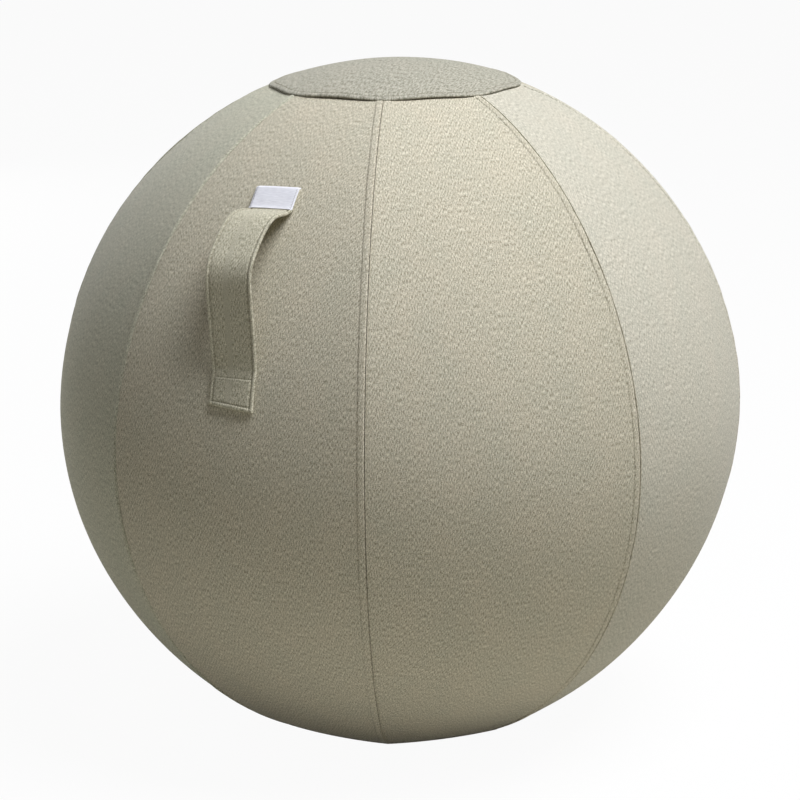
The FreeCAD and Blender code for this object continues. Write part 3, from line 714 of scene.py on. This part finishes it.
def over_panel(latitude, height):
    """Point over the front panel's middle line: latitude in degrees, height over it in mm."""
    at = math.radians(latitude)
    distance = seam_distance(at) - hollow(at) + height * MM
    return CENTRE + Vector((math.cos(at), 0, math.sin(at))) * distance


tilt = Matrix.Rotation(STRAP_TILT, 3, over_panel(29.0, 0.0) - CENTRE)
spin_front = Matrix.Rotation(FRONT, 3, "Z")


def in_place(point):
    """From the strap's own plane to the front panel, tilted a little."""
    return spin_front @ (CENTRE + tilt @ (point - CENTRE))


def bend_line():
    """The strap's middle line as straight runs with soft bends, and where the loop's pieces meet."""
    stations = [(latitude, LIFT) for latitude in (*TOP_RUN, LEAVES)] + STRAP_BENDS
    stations += [(latitude, LIFT) for latitude in (RETURNS, *FOOT_RUN)]
    corners = [over_panel(*station) for station in stations]
    line, middles = [corners[0]], []
    for before, corner, after in zip(corners, corners[1:], corners[2:]):
        reach = BEND_SHARE * min((corner - before).length, (after - corner).length)
        start = corner + (before - corner).normalized() * reach
        end = corner + (after - corner).normalized() * reach
        middles.append((line[-1] + start) / 2)
        line.append(start)
        line += [start.lerp(corner, t / 12).lerp(corner.lerp(end, t / 12), t / 12) for t in range(1, 13)]
    line.append(corners[-1])
    first_bend = len(TOP_RUN)
    return line, middles[first_bend + 1], middles[first_bend + 3]


def spaced(line, step):
    """The line again, with points at even steps."""
    lengths = [0.0]
    for first, second in zip(line, line[1:]):
        lengths.append(lengths[-1] + (second - first).length)
    count = round(lengths[-1] / step)
    points, index = [], 0
    for number in range(count + 1):
        wanted = lengths[-1] * number / count
        while index < len(line) - 2 and lengths[index + 1] < wanted:
            index += 1
        share = (wanted - lengths[index]) / (lengths[index + 1] - lengths[index])
        points.append(line[index].lerp(line[index + 1], share))
    return points


runs, grip_top, grip_foot = bend_line()
strap_line = spaced(runs, LINE_STEP * MM)
for _ in range(60):
    inner = [(a + 2 * b + c) / 4 for a, b, c in zip(strap_line, strap_line[1:], strap_line[2:])]
    strap_line = [strap_line[0], *inner, strap_line[-1]]
strap_line = spaced(strap_line, LINE_STEP * MM)
line_step = (strap_line[1] - strap_line[0]).length / MM
strap_normals = []
for before, after in zip([strap_line[0], *strap_line[:-1]], [*strap_line[1:], strap_line[-1]]):
    along = after - before
    strap_normals.append(Vector((-along.z, 0, along.x)).normalized())


def along_to(point):
    """Length in mm along the strap's line to its point nearest to this one."""
    return line_step * min(range(len(strap_line)), key=lambda i: (strap_line[i] - point).length)


at_top, at_leave, at_return, at_hem, at_foot = [
    along_to(over_panel(latitude, LIFT)) for latitude in (STRAP_TOP, LEAVES, RETURNS, HEM, STRAP_FOOT)]
at_cut_top, at_cut_foot = along_to(grip_top), along_to(grip_foot)
print("strap loop", round(at_return - at_leave, 1), "mm; outward", strap_normals[200].x > 0)

# %% The strap's cross-section
# across and thickness in mm, from the middle of the outer face round the right edge and back
RIGHT_HALF = [(0, 1.3), (5, 1.3), (9.5, 1.28), (13, 1.25), (15.6, 1.2), (16.9, 1.05), (17.6, 0.75),
              (18.0, 0.6), (18.4, 0.8), (18.8, 1.2), (19.3, 1.5), (19.9, 1.6), (20.6, 1.42),
              (21.1, 0.9), (21.3, 0.1), (21.1, -0.8), (20.6, -1.25), (19.9, -1.42), (19.2, -1.3),
              (18.5, -0.95), (17.8, -0.9), (16.6, -1.2), (13, -1.28), (7, -1.3), (0, -1.3)]
SECTION = RIGHT_HALF + [(-x, z) for x, z in reversed(RIGHT_HALF[1:-1])]
RIB_MIDDLE, STITCH_LINE = 19.8, 18.0
WRAP_PITCH, WRAP_SLANT, WRAP_THREAD = 1.75, 1.1, (0.62 * MM, 0.42 * MM)
WRAP_POINTS = ((18.3, 1.0, 0.0), (RIB_MIDDLE, 1.68, 0.5), (21.15, 0.9, 1.0))
EDGE_STITCH_PITCH, EDGE_STITCH, EDGE_THREAD = 2.6, 1.9, (0.5 * MM, 0.4 * MM)
END_GAP = 0.4
TWIST, CUP, CUP_PLACE, CUP_REACH = 0.05, 0.9, 85, 40
PANEL_BOW = 1400


def strap_point(across, height, along):
    """Point of the strap: across, over its middle line and along it, in mm."""
    place = min(max(along / line_step, 0.0), len(strap_line) - 1.001)
    index, share = int(place), place % 1
    point = strap_line[index].lerp(strap_line[index + 1], share)
    normal = strap_normals[index].lerp(strap_normals[index + 1], share).normalized()
    free = smooth((along - at_leave) / 14) * smooth((at_return - along) / 14)
    height -= (1 - free) * across ** 2 / PANEL_BOW + free * across * TWIST
    height -= CUP * hill(along - at_leave - CUP_PLACE, CUP_REACH) * (1 - (across / RIB_MIDDLE) ** 2)
    return in_place(point + normal * height * MM + Vector((0, across * MM, 0)))


def strap_piece(name, start, end, shape=lambda across, height, along: height,
                slip=lambda across, along: 0.0):
    """A stretch of the strap. shape changes its thickness, slip moves it along."""
    rows = round((end - start) / LINE_STEP)

    def moved(across, height, along):
        return strap_point(across, shape(across, height, along), along + slip(across, along))

    def place(column, row):
        along = end - (end - start) * row / rows
        x, z = SECTION[column % len(SECTION)]
        layer = 0.3 if len(RIGHT_HALF) <= column % len(SECTION) + 1 else 0.0
        return moved(x, z, along), (x * MM + 4.3 + layer, -along * MM)

    bm = closed_tube(len(SECTION), rows, place)
    runs, wraps = [], []
    for side in (-1, 1):
        for number in range(int((end - start - END_GAP) / WRAP_PITCH)):
            along = start + END_GAP + number * WRAP_PITCH
            points = [moved(side * across, height, along + ahead * WRAP_SLANT)
                      for across, height, ahead in WRAP_POINTS]
            outward = points[1] - (points[0] + points[2]) / 2
            wraps += [(points[0], points[1], outward), (points[1], points[2], outward)]
        across = side * STITCH_LINE
        for number in range(int((end - start - 0.6) / EDGE_STITCH_PITCH)):
            along = start + END_GAP + number * EDGE_STITCH_PITCH
            ends = [strap_point(across, 0.85, there + slip(across, there))
                    for there in (along, along + EDGE_STITCH)]
            runs.append((*ends, ends[0] - strap_point(across, 0.0, along)))
    sew(bm, wraps, *WRAP_THREAD, 1)
    sew(bm, runs, *EDGE_THREAD, 2)
    return as_piece(name, bm, strap_cloth, rib_thread, seam_thread)


rib_thread = new_material("rib_thread")
rib_place = add_node(rib_thread, "ShaderNodeTexCoord").outputs["Object"]
rib_tone = add_node(rib_thread, "ShaderNodeTexNoise", {"Vector": rib_place, "Scale": 900.0, "Detail": 2.0})
dress(rib_thread, two_tones(rib_thread, rib_tone.outputs["Fac"], srgb(176, 172, 150),
                            srgb(212, 207, 186), (0.35, 0.65)), 0.7)

# %% Make the loop
upper_leg = strap_piece("strap_upper_leg", at_leave, at_cut_top)
grip = strap_piece("strap_grip", at_cut_top, at_cut_foot)
lower_leg = strap_piece("strap_lower_leg", at_cut_foot, at_return)
for piece, node in ((upper_leg, "handle_upper_leg"), (lower_leg, "handle_lower_leg")):
    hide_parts(node)
strap_point(0, 0, at_leave + 3)
strap_point(0, 0, at_cut_top - 3)
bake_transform(upper_leg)
strap_point(0, 0, at_return - 3)
strap_point(0, 0, at_cut_foot + 3)
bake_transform(lower_leg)
stands_for(grip, "handle", "strap_fabric", "handle_grip")
print("strap pieces", [len(p.data.polygons) for p in (upper_leg, grip, lower_leg)])

# %% [markdown]
# ## The strap's sewn ends and the label
# The upper end lies under the label. The lower end is folded up on itself and boxed with
# stitches: the fold shows as a thick rolled edge below and a fine hem line above. The label is a
# piece of white ribbon, left bare, with zigzag stitches at its two sides.

# %% Sewn ends
BOX_STITCH = 4.2


def folded(across, height, along):
    """Thickness of the lower end: the folded layer, its hem line and the rolled edge below."""
    from_foot = at_foot - along
    if height > 0 and abs(across) < STITCH_LINE - 0.1:
        height += 0.8 * smooth((along - at_hem) / 0.7) * smooth((STITCH_LINE - abs(across)) / 0.9)
        height -= 0.4 * hill(along - at_hem + 0.5, 0.5)
        height -= 0.5 * hill(from_foot - BOX_STITCH, 0.6)
    height += math.copysign(0.55, height) * smooth((3.6 - from_foot) / 1.0)
    return height * math.sqrt(max(0.0, 1 - max(0.0, 1 - from_foot / 1.8) ** 2))


def slanted(across, along):
    """The strap's foot isn't cut quite square."""
    return 0.105 * across * smooth((along - at_return) / (at_foot - at_return))


lower_end = strap_piece("strap_lower_end", at_return, at_foot, folded, slanted)
stands_for(lower_end, "root", "strap_fabric", "handle_lower_end")
upper_end = strap_piece("strap_upper_end", at_top, at_leave)
stands_for(upper_end, "root", "strap_fabric", "handle_upper_end")

box_row = bmesh.new()
stitches = []
for number in range(13):
    x = -16.4 + EDGE_STITCH_PITCH * number
    for along, height in ((at_foot - BOX_STITCH, 1.75), (at_hem + 1.6, 2.05)):
        ends = [strap_point(there, height, along + slanted(there, along)) for there in (x, x + EDGE_STITCH)]
        stitches.append((*ends, ends[0] - CENTRE))
sew(box_row, stitches, 0.55 * MM, 0.42 * MM)
stands_for(as_piece("strap_box_stitching", box_row, seam_thread), "root", "strap_fabric")

# %% Label
label_cloth = new_material("label_ribbon")
label_uv = add_node(label_cloth, "ShaderNodeUVMap", uv_map="Cloth").outputs["UV"]
ribs = add_node(label_cloth, "ShaderNodeMapping", {"Vector": label_uv, "Scale": (150, 1900, 1)})
rib_noise = add_node(label_cloth, "ShaderNodeTexNoise",
                     {"Vector": ribs.outputs[0], "Scale": 1.0, "Detail": 2.0}).outputs["Fac"]
dress(label_cloth, two_tones(label_cloth, rib_noise, srgb(222, 222, 230), srgb(246, 246, 252)),
      0.6, rib_noise, 0.6, 0.00015)
label_thread = new_material("label_thread")
dress(label_thread, srgb(196, 194, 196), 0.6)

LABEL_HALF, LABEL_HEIGHT, LABEL_FACE, LABEL_STITCH = 21.2, 25.0, 2.05, 1.55
LABEL_COLUMNS, LABEL_ROWS = 42, 30


def label_point(across, up, over=0.0):
    """Point of the label: it lies on the strap's upper end and steps down beyond it."""
    wave = 0.18 * noise.noise(Vector((across / 9, up / 8, 2.2)))
    step = 1.7 * smooth((up - (at_leave - at_top) - 0.3) / 1.6)
    droop = 0.5 * smooth((abs(across) - 18.5) / 2.5)
    return strap_point(across, LABEL_FACE + wave + over - step - droop, at_leave - up)


def label_seat(column, row):
    """Point and UV of one corner of the label's grid."""
    up = LABEL_HEIGHT * row / LABEL_ROWS
    return label_point(LABEL_HALF * (2 * column / LABEL_COLUMNS - 1), up), (column * MM, up * MM)


bm = woven_grid(LABEL_COLUMNS, LABEL_ROWS, label_seat)
bmesh.ops.solidify(bm, geom=bm.faces, thickness=0.5 * MM)
bmesh.ops.recalc_face_normals(bm, faces=bm.faces)
stitches = []
for side in (-19.6, 19.6):
    for number in range(15):
        swing = 0.75 if number % 2 else -0.75
        low, high = 1.0 + LABEL_STITCH * number, 1.0 + LABEL_STITCH * (number + 1)
        ends = [label_point(side - swing, low, 0.12), label_point(side + swing, high, 0.12)]
        stitches.append((*ends, ends[0] - CENTRE))
sew(bm, stitches, 0.4 * MM, 0.3 * MM, 1)
stands_for(as_piece("label", bm, label_cloth, label_thread), "root", "label_fabric", "woven_label")

# %% [markdown]
# ## Base and zip
# Under the ball a shallow pan of grippy leatherette stands on the floor, and a coil zip runs round
# it so that the cover can come off. Both are seen only from below, and they are made as fully as
# the rest: spun profiles for the pan and the tapes, and small repeated teeth for the coils.

# %% Base materials
leatherette = new_material("leatherette")
object_place = add_node(leatherette, "ShaderNodeTexCoord").outputs["Object"]
pebble = add_node(leatherette, "ShaderNodeTexVoronoi", {"Vector": object_place, "Scale": 620.0})
tone = add_node(leatherette, "ShaderNodeTexNoise", {"Vector": object_place, "Scale": 90.0, "Detail": 3.0})
dress(leatherette, two_tones(leatherette, tone.outputs["Fac"], srgb(46, 46, 44), srgb(66, 65, 62), (0, 1)),
      0.55, pebble.outputs["Distance"], 0.5, 0.0002)

tape_cloth = make_cloth("zip_tape", srgb(96, 93, 80), srgb(122, 120, 104), srgb(132, 126, 110),
                        srgb(150, 146, 130), streak=0.6)


def speckled(name, low, high, roughness, scale, metallic=0.0):
    """Plain plastic, rubber or metal with a slight change of tone and a fine grain."""
    material = new_material(name)
    place = add_node(material, "ShaderNodeTexCoord").outputs["Object"]
    grain = add_node(material, "ShaderNodeTexNoise",
                     {"Vector": place, "Scale": scale, "Detail": 4.0}).outputs["Fac"]
    shader = dress(material, two_tones(material, grain, low, high), roughness, grain, 0.25, 0.0001)
    shader.inputs["Metallic"].default_value = metallic
    return material


teeth_plastic = speckled("teeth_plastic", srgb(104, 101, 88), srgb(124, 120, 104), 0.35, 900)
slider_metal = speckled("slider_metal", srgb(150, 150, 148), srgb(184, 184, 182), 0.28, 700, 1.0)
ring_rubber = speckled("ring_rubber", srgb(30, 30, 30), srgb(44, 44, 44), 0.7, 260)
bladder_rubber = speckled("bladder_rubber", srgb(116, 120, 122), srgb(134, 138, 140), 0.45, 120)
plug_plastic = speckled("plug_plastic", srgb(206, 206, 202), srgb(226, 226, 222), 0.35, 300)

# %% Base pan
PAN_OUTSIDE = [(0, 0.9), (96, 0.9), (97.4, 0.5), (98.2, 0.0), (103.4, 0.0), (103.9, 0.5),
               (104.4, 0.5), (104.9, 0.1), (106.0, 0.5), (107.0, 1.5), (107.5, 3.0), (107.5, 7.6),
               (107.2, 8.8), (106.5, 9.2)]
PAN_INSIDE = [(105.9, 8.9), (105.5, 8.0), (105.5, 3.2), (104.3, 2.0), (60, 2.0), (0, 2.0)]
bm = spun(PAN_OUTSIDE + PAN_INSIDE, 192)
NUB_SPACING, NUB_FIELD, NUB_REACH, NUB_HEIGHT = 9.0, 93.0, 12, 1.2
ROW_SHARE = 0.866
for row in range(-NUB_REACH, NUB_REACH + 1):
    nub_row = bmesh.new()
    for column in range(-NUB_REACH, NUB_REACH + 1):
        x = NUB_SPACING * (column + 0.5 * (row % 2))
        y = NUB_SPACING * ROW_SHARE * row
        if math.hypot(x, y) < NUB_FIELD:
            seat = Matrix.Translation(Vector((x, y, NUB_HEIGHT / 2)) * MM)
            bmesh.ops.create_cone(nub_row, cap_ends=True, segments=10, radius1=2.0 * MM,
                                  radius2=2.8 * MM, depth=NUB_HEIGHT * MM, matrix=seat)
    take_in(bm, nub_row)
stands_for(as_piece("pan", bm, leatherette), "root", "base_leatherette", "base_pan")


# %% Zip tapes, facing and joining strip
def flat_ring(name, inner, outer, low, high, material, steps=192):
    """A woven ring with rounded selvedges."""
    mid = (low + high) / 2
    profile = [(inner + 0.4, low), (inner, mid), (inner + 0.4, high), (inner + 1.6, high - 0.15),
               (inner + 2.2, high), (outer - 2.2, high), (outer - 1.6, high - 0.15), (outer - 0.4, high),
               (outer, mid), (outer - 0.4, low), (outer - 1.6, low + 0.15), (outer - 2.2, low),
               (inner + 2.2, low), (inner + 1.6, low + 0.15), (inner + 0.4, low)]
    bm = spun(profile, steps)
    cloth_round(bm, (inner + outer) / 2)
    return as_piece(name, bm, material)


TEETH_RADIUS = 120.0
TAPE_LOW, TAPE_HIGH = 8.0, 9.2
outer_tape = flat_ring("outer_tape", 122.4, 131.4, TAPE_LOW, TAPE_HIGH, tape_cloth)
stands_for(outer_tape, "root", "tape_fabric", "zip_tape_outer")
inner_tape = flat_ring("inner_tape", 107.5, 117.6, TAPE_LOW, TAPE_HIGH, tape_cloth)
stands_for(inner_tape, "root", "tape_fabric", "zip_tape_inner")

FACING_EDGE, FACING_HOLD = 134.9, 130
facing_edge = [math.hypot(*panel_point(foot_latitude(share), share).xy) / MM - 0.6 for share in (1, 0)]
bm = spun([(126.9, 9.2), (126.4, 9.8), (126.9, 10.4), (128.6, 10.15), (130.2, 10.4), (134.5, 10.4),
           (134.9, 9.8), (134.5, 9.2), (130, 9.2), (126.9, 9.2)], 192)
for vert in bm.verts:
    radius = math.hypot(vert.co.x, vert.co.y) / MM
    side = abs(math.remainder(math.atan2(vert.co.y, vert.co.x), 2 * HALF_PANEL)) / HALF_PANEL
    edge = facing_edge[1] + (facing_edge[0] - facing_edge[1]) * side ** 2
    stretched = radius + (edge - FACING_EDGE) * smooth((radius - FACING_HOLD) / 4)
    vert.co.x, vert.co.y = vert.co.x * stretched / radius, vert.co.y * stretched / radius
cloth_round(bm, FACING_HOLD)
stands_for(as_piece("facing", bm, cover_cloth), "root", "cover_fabric", "zip_facing")


def swept(profile, start, sweep, steps):
    """A closed outline in mm carried part of the way round the axis, with its ends closed."""
    bm = bmesh.new()
    verts = [bm.verts.new((radius * MM, 0, height * MM)) for radius, height in profile]
    face = bm.faces.new(verts)
    bmesh.ops.rotate(bm, verts=verts, cent=(0, 0, 0), matrix=Matrix.Rotation(start, 3, "Z"))
    bmesh.ops.spin(bm, geom=[face] + list(face.edges) + verts, cent=(0, 0, 0), axis=UP, angle=sweep,
                   steps=steps, use_merge=False)
    bmesh.ops.recalc_face_normals(bm, faces=bm.faces)
    return bm


TEETH_START, TEETH_SWEEP = math.radians(95), math.radians(250)
bm = swept([(112, 7.2), (112.3, 6.85), (113.4, 6.95), (114, 6.8), (126, 6.8), (126.6, 6.95), (127.7, 6.85),
            (128, 7.2), (128, 7.8), (127.6, 8.0), (112.4, 8.0), (112, 7.8)],
           math.radians(349.7), math.radians(100.6), 72)
cloth_round(bm, TEETH_RADIUS)
stands_for(as_piece("joining_strip", bm, cover_cloth), "root", "cover_fabric", "zip_joining_strip")

# %% Zip teeth
TOOTH_PITCH, TEETH_HEIGHT, HEAD_SINK = 2.1, 8.6, 0.5
WIRE_THREAD, TOOTH_HEAD = (1.25 * MM, 2.1 * MM), (1.5 * MM, 1.3 * MM)
STOP_ROOM = 4
teeth_count = round(TEETH_SWEEP * TEETH_RADIUS / TOOTH_PITCH)
for name, heel, tip, shift, node in (("teeth_inner", 117.5, 120.9, 0.0, "zip_teeth_inner"),
                                     ("teeth_outer", 122.5, 119.1, 0.5, "zip_teeth_outer")):
    bm = bmesh.new()
    wires, heads = [], []
    for number in range(teeth_count - STOP_ROOM):
        angle = TEETH_START + TEETH_SWEEP * (number + 0.35 + shift) / teeth_count
        way = Vector((math.cos(angle), math.sin(angle), 0)) * MM
        lift = UP * TEETH_HEIGHT * MM
        low = lift - UP * HEAD_SINK * MM
        wires.append((way * heel + lift, way * tip + lift, UP))
        heads.append((way * (heel * 0.3 + TEETH_RADIUS * 0.7) + low,
                      way * (tip + (tip - TEETH_RADIUS) * 0.15) + low, UP))
    sew(bm, wires, *WIRE_THREAD)
    sew(bm, heads, *TOOTH_HEAD)
    stands_for(as_piece(name, bm, teeth_plastic), "root", "teeth_plastic", node)
print("teeth per row", teeth_count - STOP_ROOM)


# %% [markdown]
# ## Cast and moulded parts
# The slider and its pull are small castings. Their CAD shapes are right but have sharp edges, so
# each is copied, its loose triangles are merged, and its edges get a fine bevel.

# %% Slider, pull and stops
def softened(name, node, width, material, body, slot):
    """A copy of a CAD node with its edges rounded a little."""
    bm = bmesh.new()
    bm.from_mesh(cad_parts[node].data)
    bmesh.ops.remove_doubles(bm, verts=bm.verts, dist=1e-6)
    bmesh.ops.dissolve_limit(bm, angle_limit=math.radians(3), verts=bm.verts, edges=bm.edges)
    sharp = [edge for edge in bm.edges if len(edge.link_faces) == 2
             and edge.calc_face_angle() > math.radians(35)]
    bmesh.ops.bevel(bm, geom=sharp, offset=width * MM, segments=2, profile=0.5, affect="EDGES",
                    material=-1, clamp_overlap=True)
    piece = as_piece(name, bm, material)
    return stands_for(piece, body, slot, node)


softened("slider", "zip_slider", 0.18, slider_metal, "slider", "slider_metal")
softened("pull_tab", "zip_pull", 0.15, slider_metal, "pull", "slider_metal")
softened("stops", "zip_stops", 0.2, slider_metal, "root", "slider_metal")

# %% [markdown]
# ## Inside the cover
# A rubber bladder fills the cover and stands on a weighted ring in a cloth sleeve. Nobody sees
# them while the cover is closed, but each has its own shape and finish, ready for a cut-away.

# %% Bladder
COVER_GAP = 4.2
BLADDER_FOOT = [(0.0, 20.0), (40, 20.0), (80, 20.0), (92, 20.2)]
BLADDER_START, BLADDER_TOP = math.radians(-54), 627.3
BLADDER_STEPS, RIDGE_HEIGHT, RIDGES = 98, 0.5, range(21, 76)
profile = []
for number in range(1, BLADDER_STEPS + 2):
    latitude = BLADDER_START + (HEAD - BLADDER_START) * (number - 1) / BLADDER_STEPS
    distance = (seam_distance(latitude) - hollow(latitude)) / MM - COVER_GAP
    if number in RIDGES:
        distance -= RIDGE_HEIGHT * (1 - abs(math.sin(number * math.pi / 4)))
    profile.append((distance * math.cos(latitude), CENTRE.z / MM + distance * math.sin(latitude)))
start, end = Vector(BLADDER_FOOT[-1]), Vector(profile[0])
shoulder = [tuple(start.lerp(end, t) - Vector((-7.5, 9.0)) * math.sin(math.pi * t))
            for t in (0.15, 0.3, 0.45, 0.6, 0.75, 0.9)]
profile = [*BLADDER_FOOT, *shoulder, *profile,
           (60, BLADDER_TOP - 5.0), (30, BLADDER_TOP - 1.2), (0, BLADDER_TOP)]
bm = spun(profile, 128)
bladder = as_piece("inner_ball", settle(bm), bladder_rubber)
bladder_wall = bladder.modifiers.new("Rubber wall", "SOLIDIFY")
bladder_wall.thickness, bladder_wall.offset = 1.2 * MM, -1.0
stands_for(bladder, "root", "bladder_rubber", "bladder")

# %% Ring sleeve
bm = spun([(60, 4.2), (61.6, 2.4), (63.5, 2.0), (97.5, 2.0), (99.4, 2.4), (101, 4.2), (101.2, 11),
           (101, 17.8), (99.4, 19.6), (97.5, 20), (81.6, 20), (81, 19.4), (80.4, 20), (63.5, 20),
           (61.6, 19.6), (60, 17.8), (59.8, 11), (60, 4.2)], 128)
cloth_round(bm, 80)
stands_for(as_piece("ring_sleeve", bm, tape_cloth), "root", "sleeve_fabric", "weight_ring_sleeve")

# %% Turned-in seam edges
def pressed(piece, thickness):
    """Gives a flat grid its thickness and its normals."""
    bmesh.ops.solidify(piece, geom=piece.faces, thickness=-thickness * MM)
    bmesh.ops.recalc_face_normals(piece, faces=piece.faces)
    return piece


bm = bmesh.new()
for azimuth in PANEL_AZIMUTHS:
    def place(column, row):
        point = at_seam(math.radians(row - 60), 9.8 - 2.4 * column, -2.15 - 0.35 * (column % 2))
        return settled(turned(point, azimuth)), (column * 0.0024, math.radians(row) * SEAM_RADIUS)

    take_in(bm, pressed(woven_grid(4, 120, place), 1.5))
stands_for(as_piece("turned_in_edges", bm, cover_cloth), "root", "cover_fabric", "seam_allowances")

# %% Patches behind the strap's ends
PATCH_HALF, PATCH_MARGIN, PATCH_DEPTH = 25, 0.7, 2.1
PATCH_COLUMNS, PATCH_ROWS = 20, 12
bm = bmesh.new()
for low, high in ((LEAVES, STRAP_TOP), (STRAP_FOOT, RETURNS)):
    def place(column, row):
        x = PATCH_HALF * (2 * column / PATCH_COLUMNS - 1)
        latitude = low - PATCH_MARGIN + (high - low + 2 * PATCH_MARGIN) * row / PATCH_ROWS
        point = over_panel(latitude, -PATCH_DEPTH - x ** 2 / PANEL_BOW)
        return in_place(Vector((point.x, x * MM, point.z))), (column * 0.0025, row * 0.003)

    take_in(bm, pressed(woven_grid(PATCH_COLUMNS, PATCH_ROWS, place), 1.2))
stands_for(as_piece("backing_patches", bm, tape_cloth), "root", "cover_fabric", "handle_backing_patches")

# %% Finish of the CAD nodes that stay
for node, material in (("weight_ring", ring_rubber), ("valve_seat", bladder_rubber),
                       ("valve_plug", plug_plastic)):
    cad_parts[node].data.materials.clear()
    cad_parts[node].data.materials.append(material)

# %% Floor
bm = bmesh.new()
bmesh.ops.create_grid(bm, x_segments=1, y_segments=1, size=30)
floor = as_piece("floor", bm, floor_material)
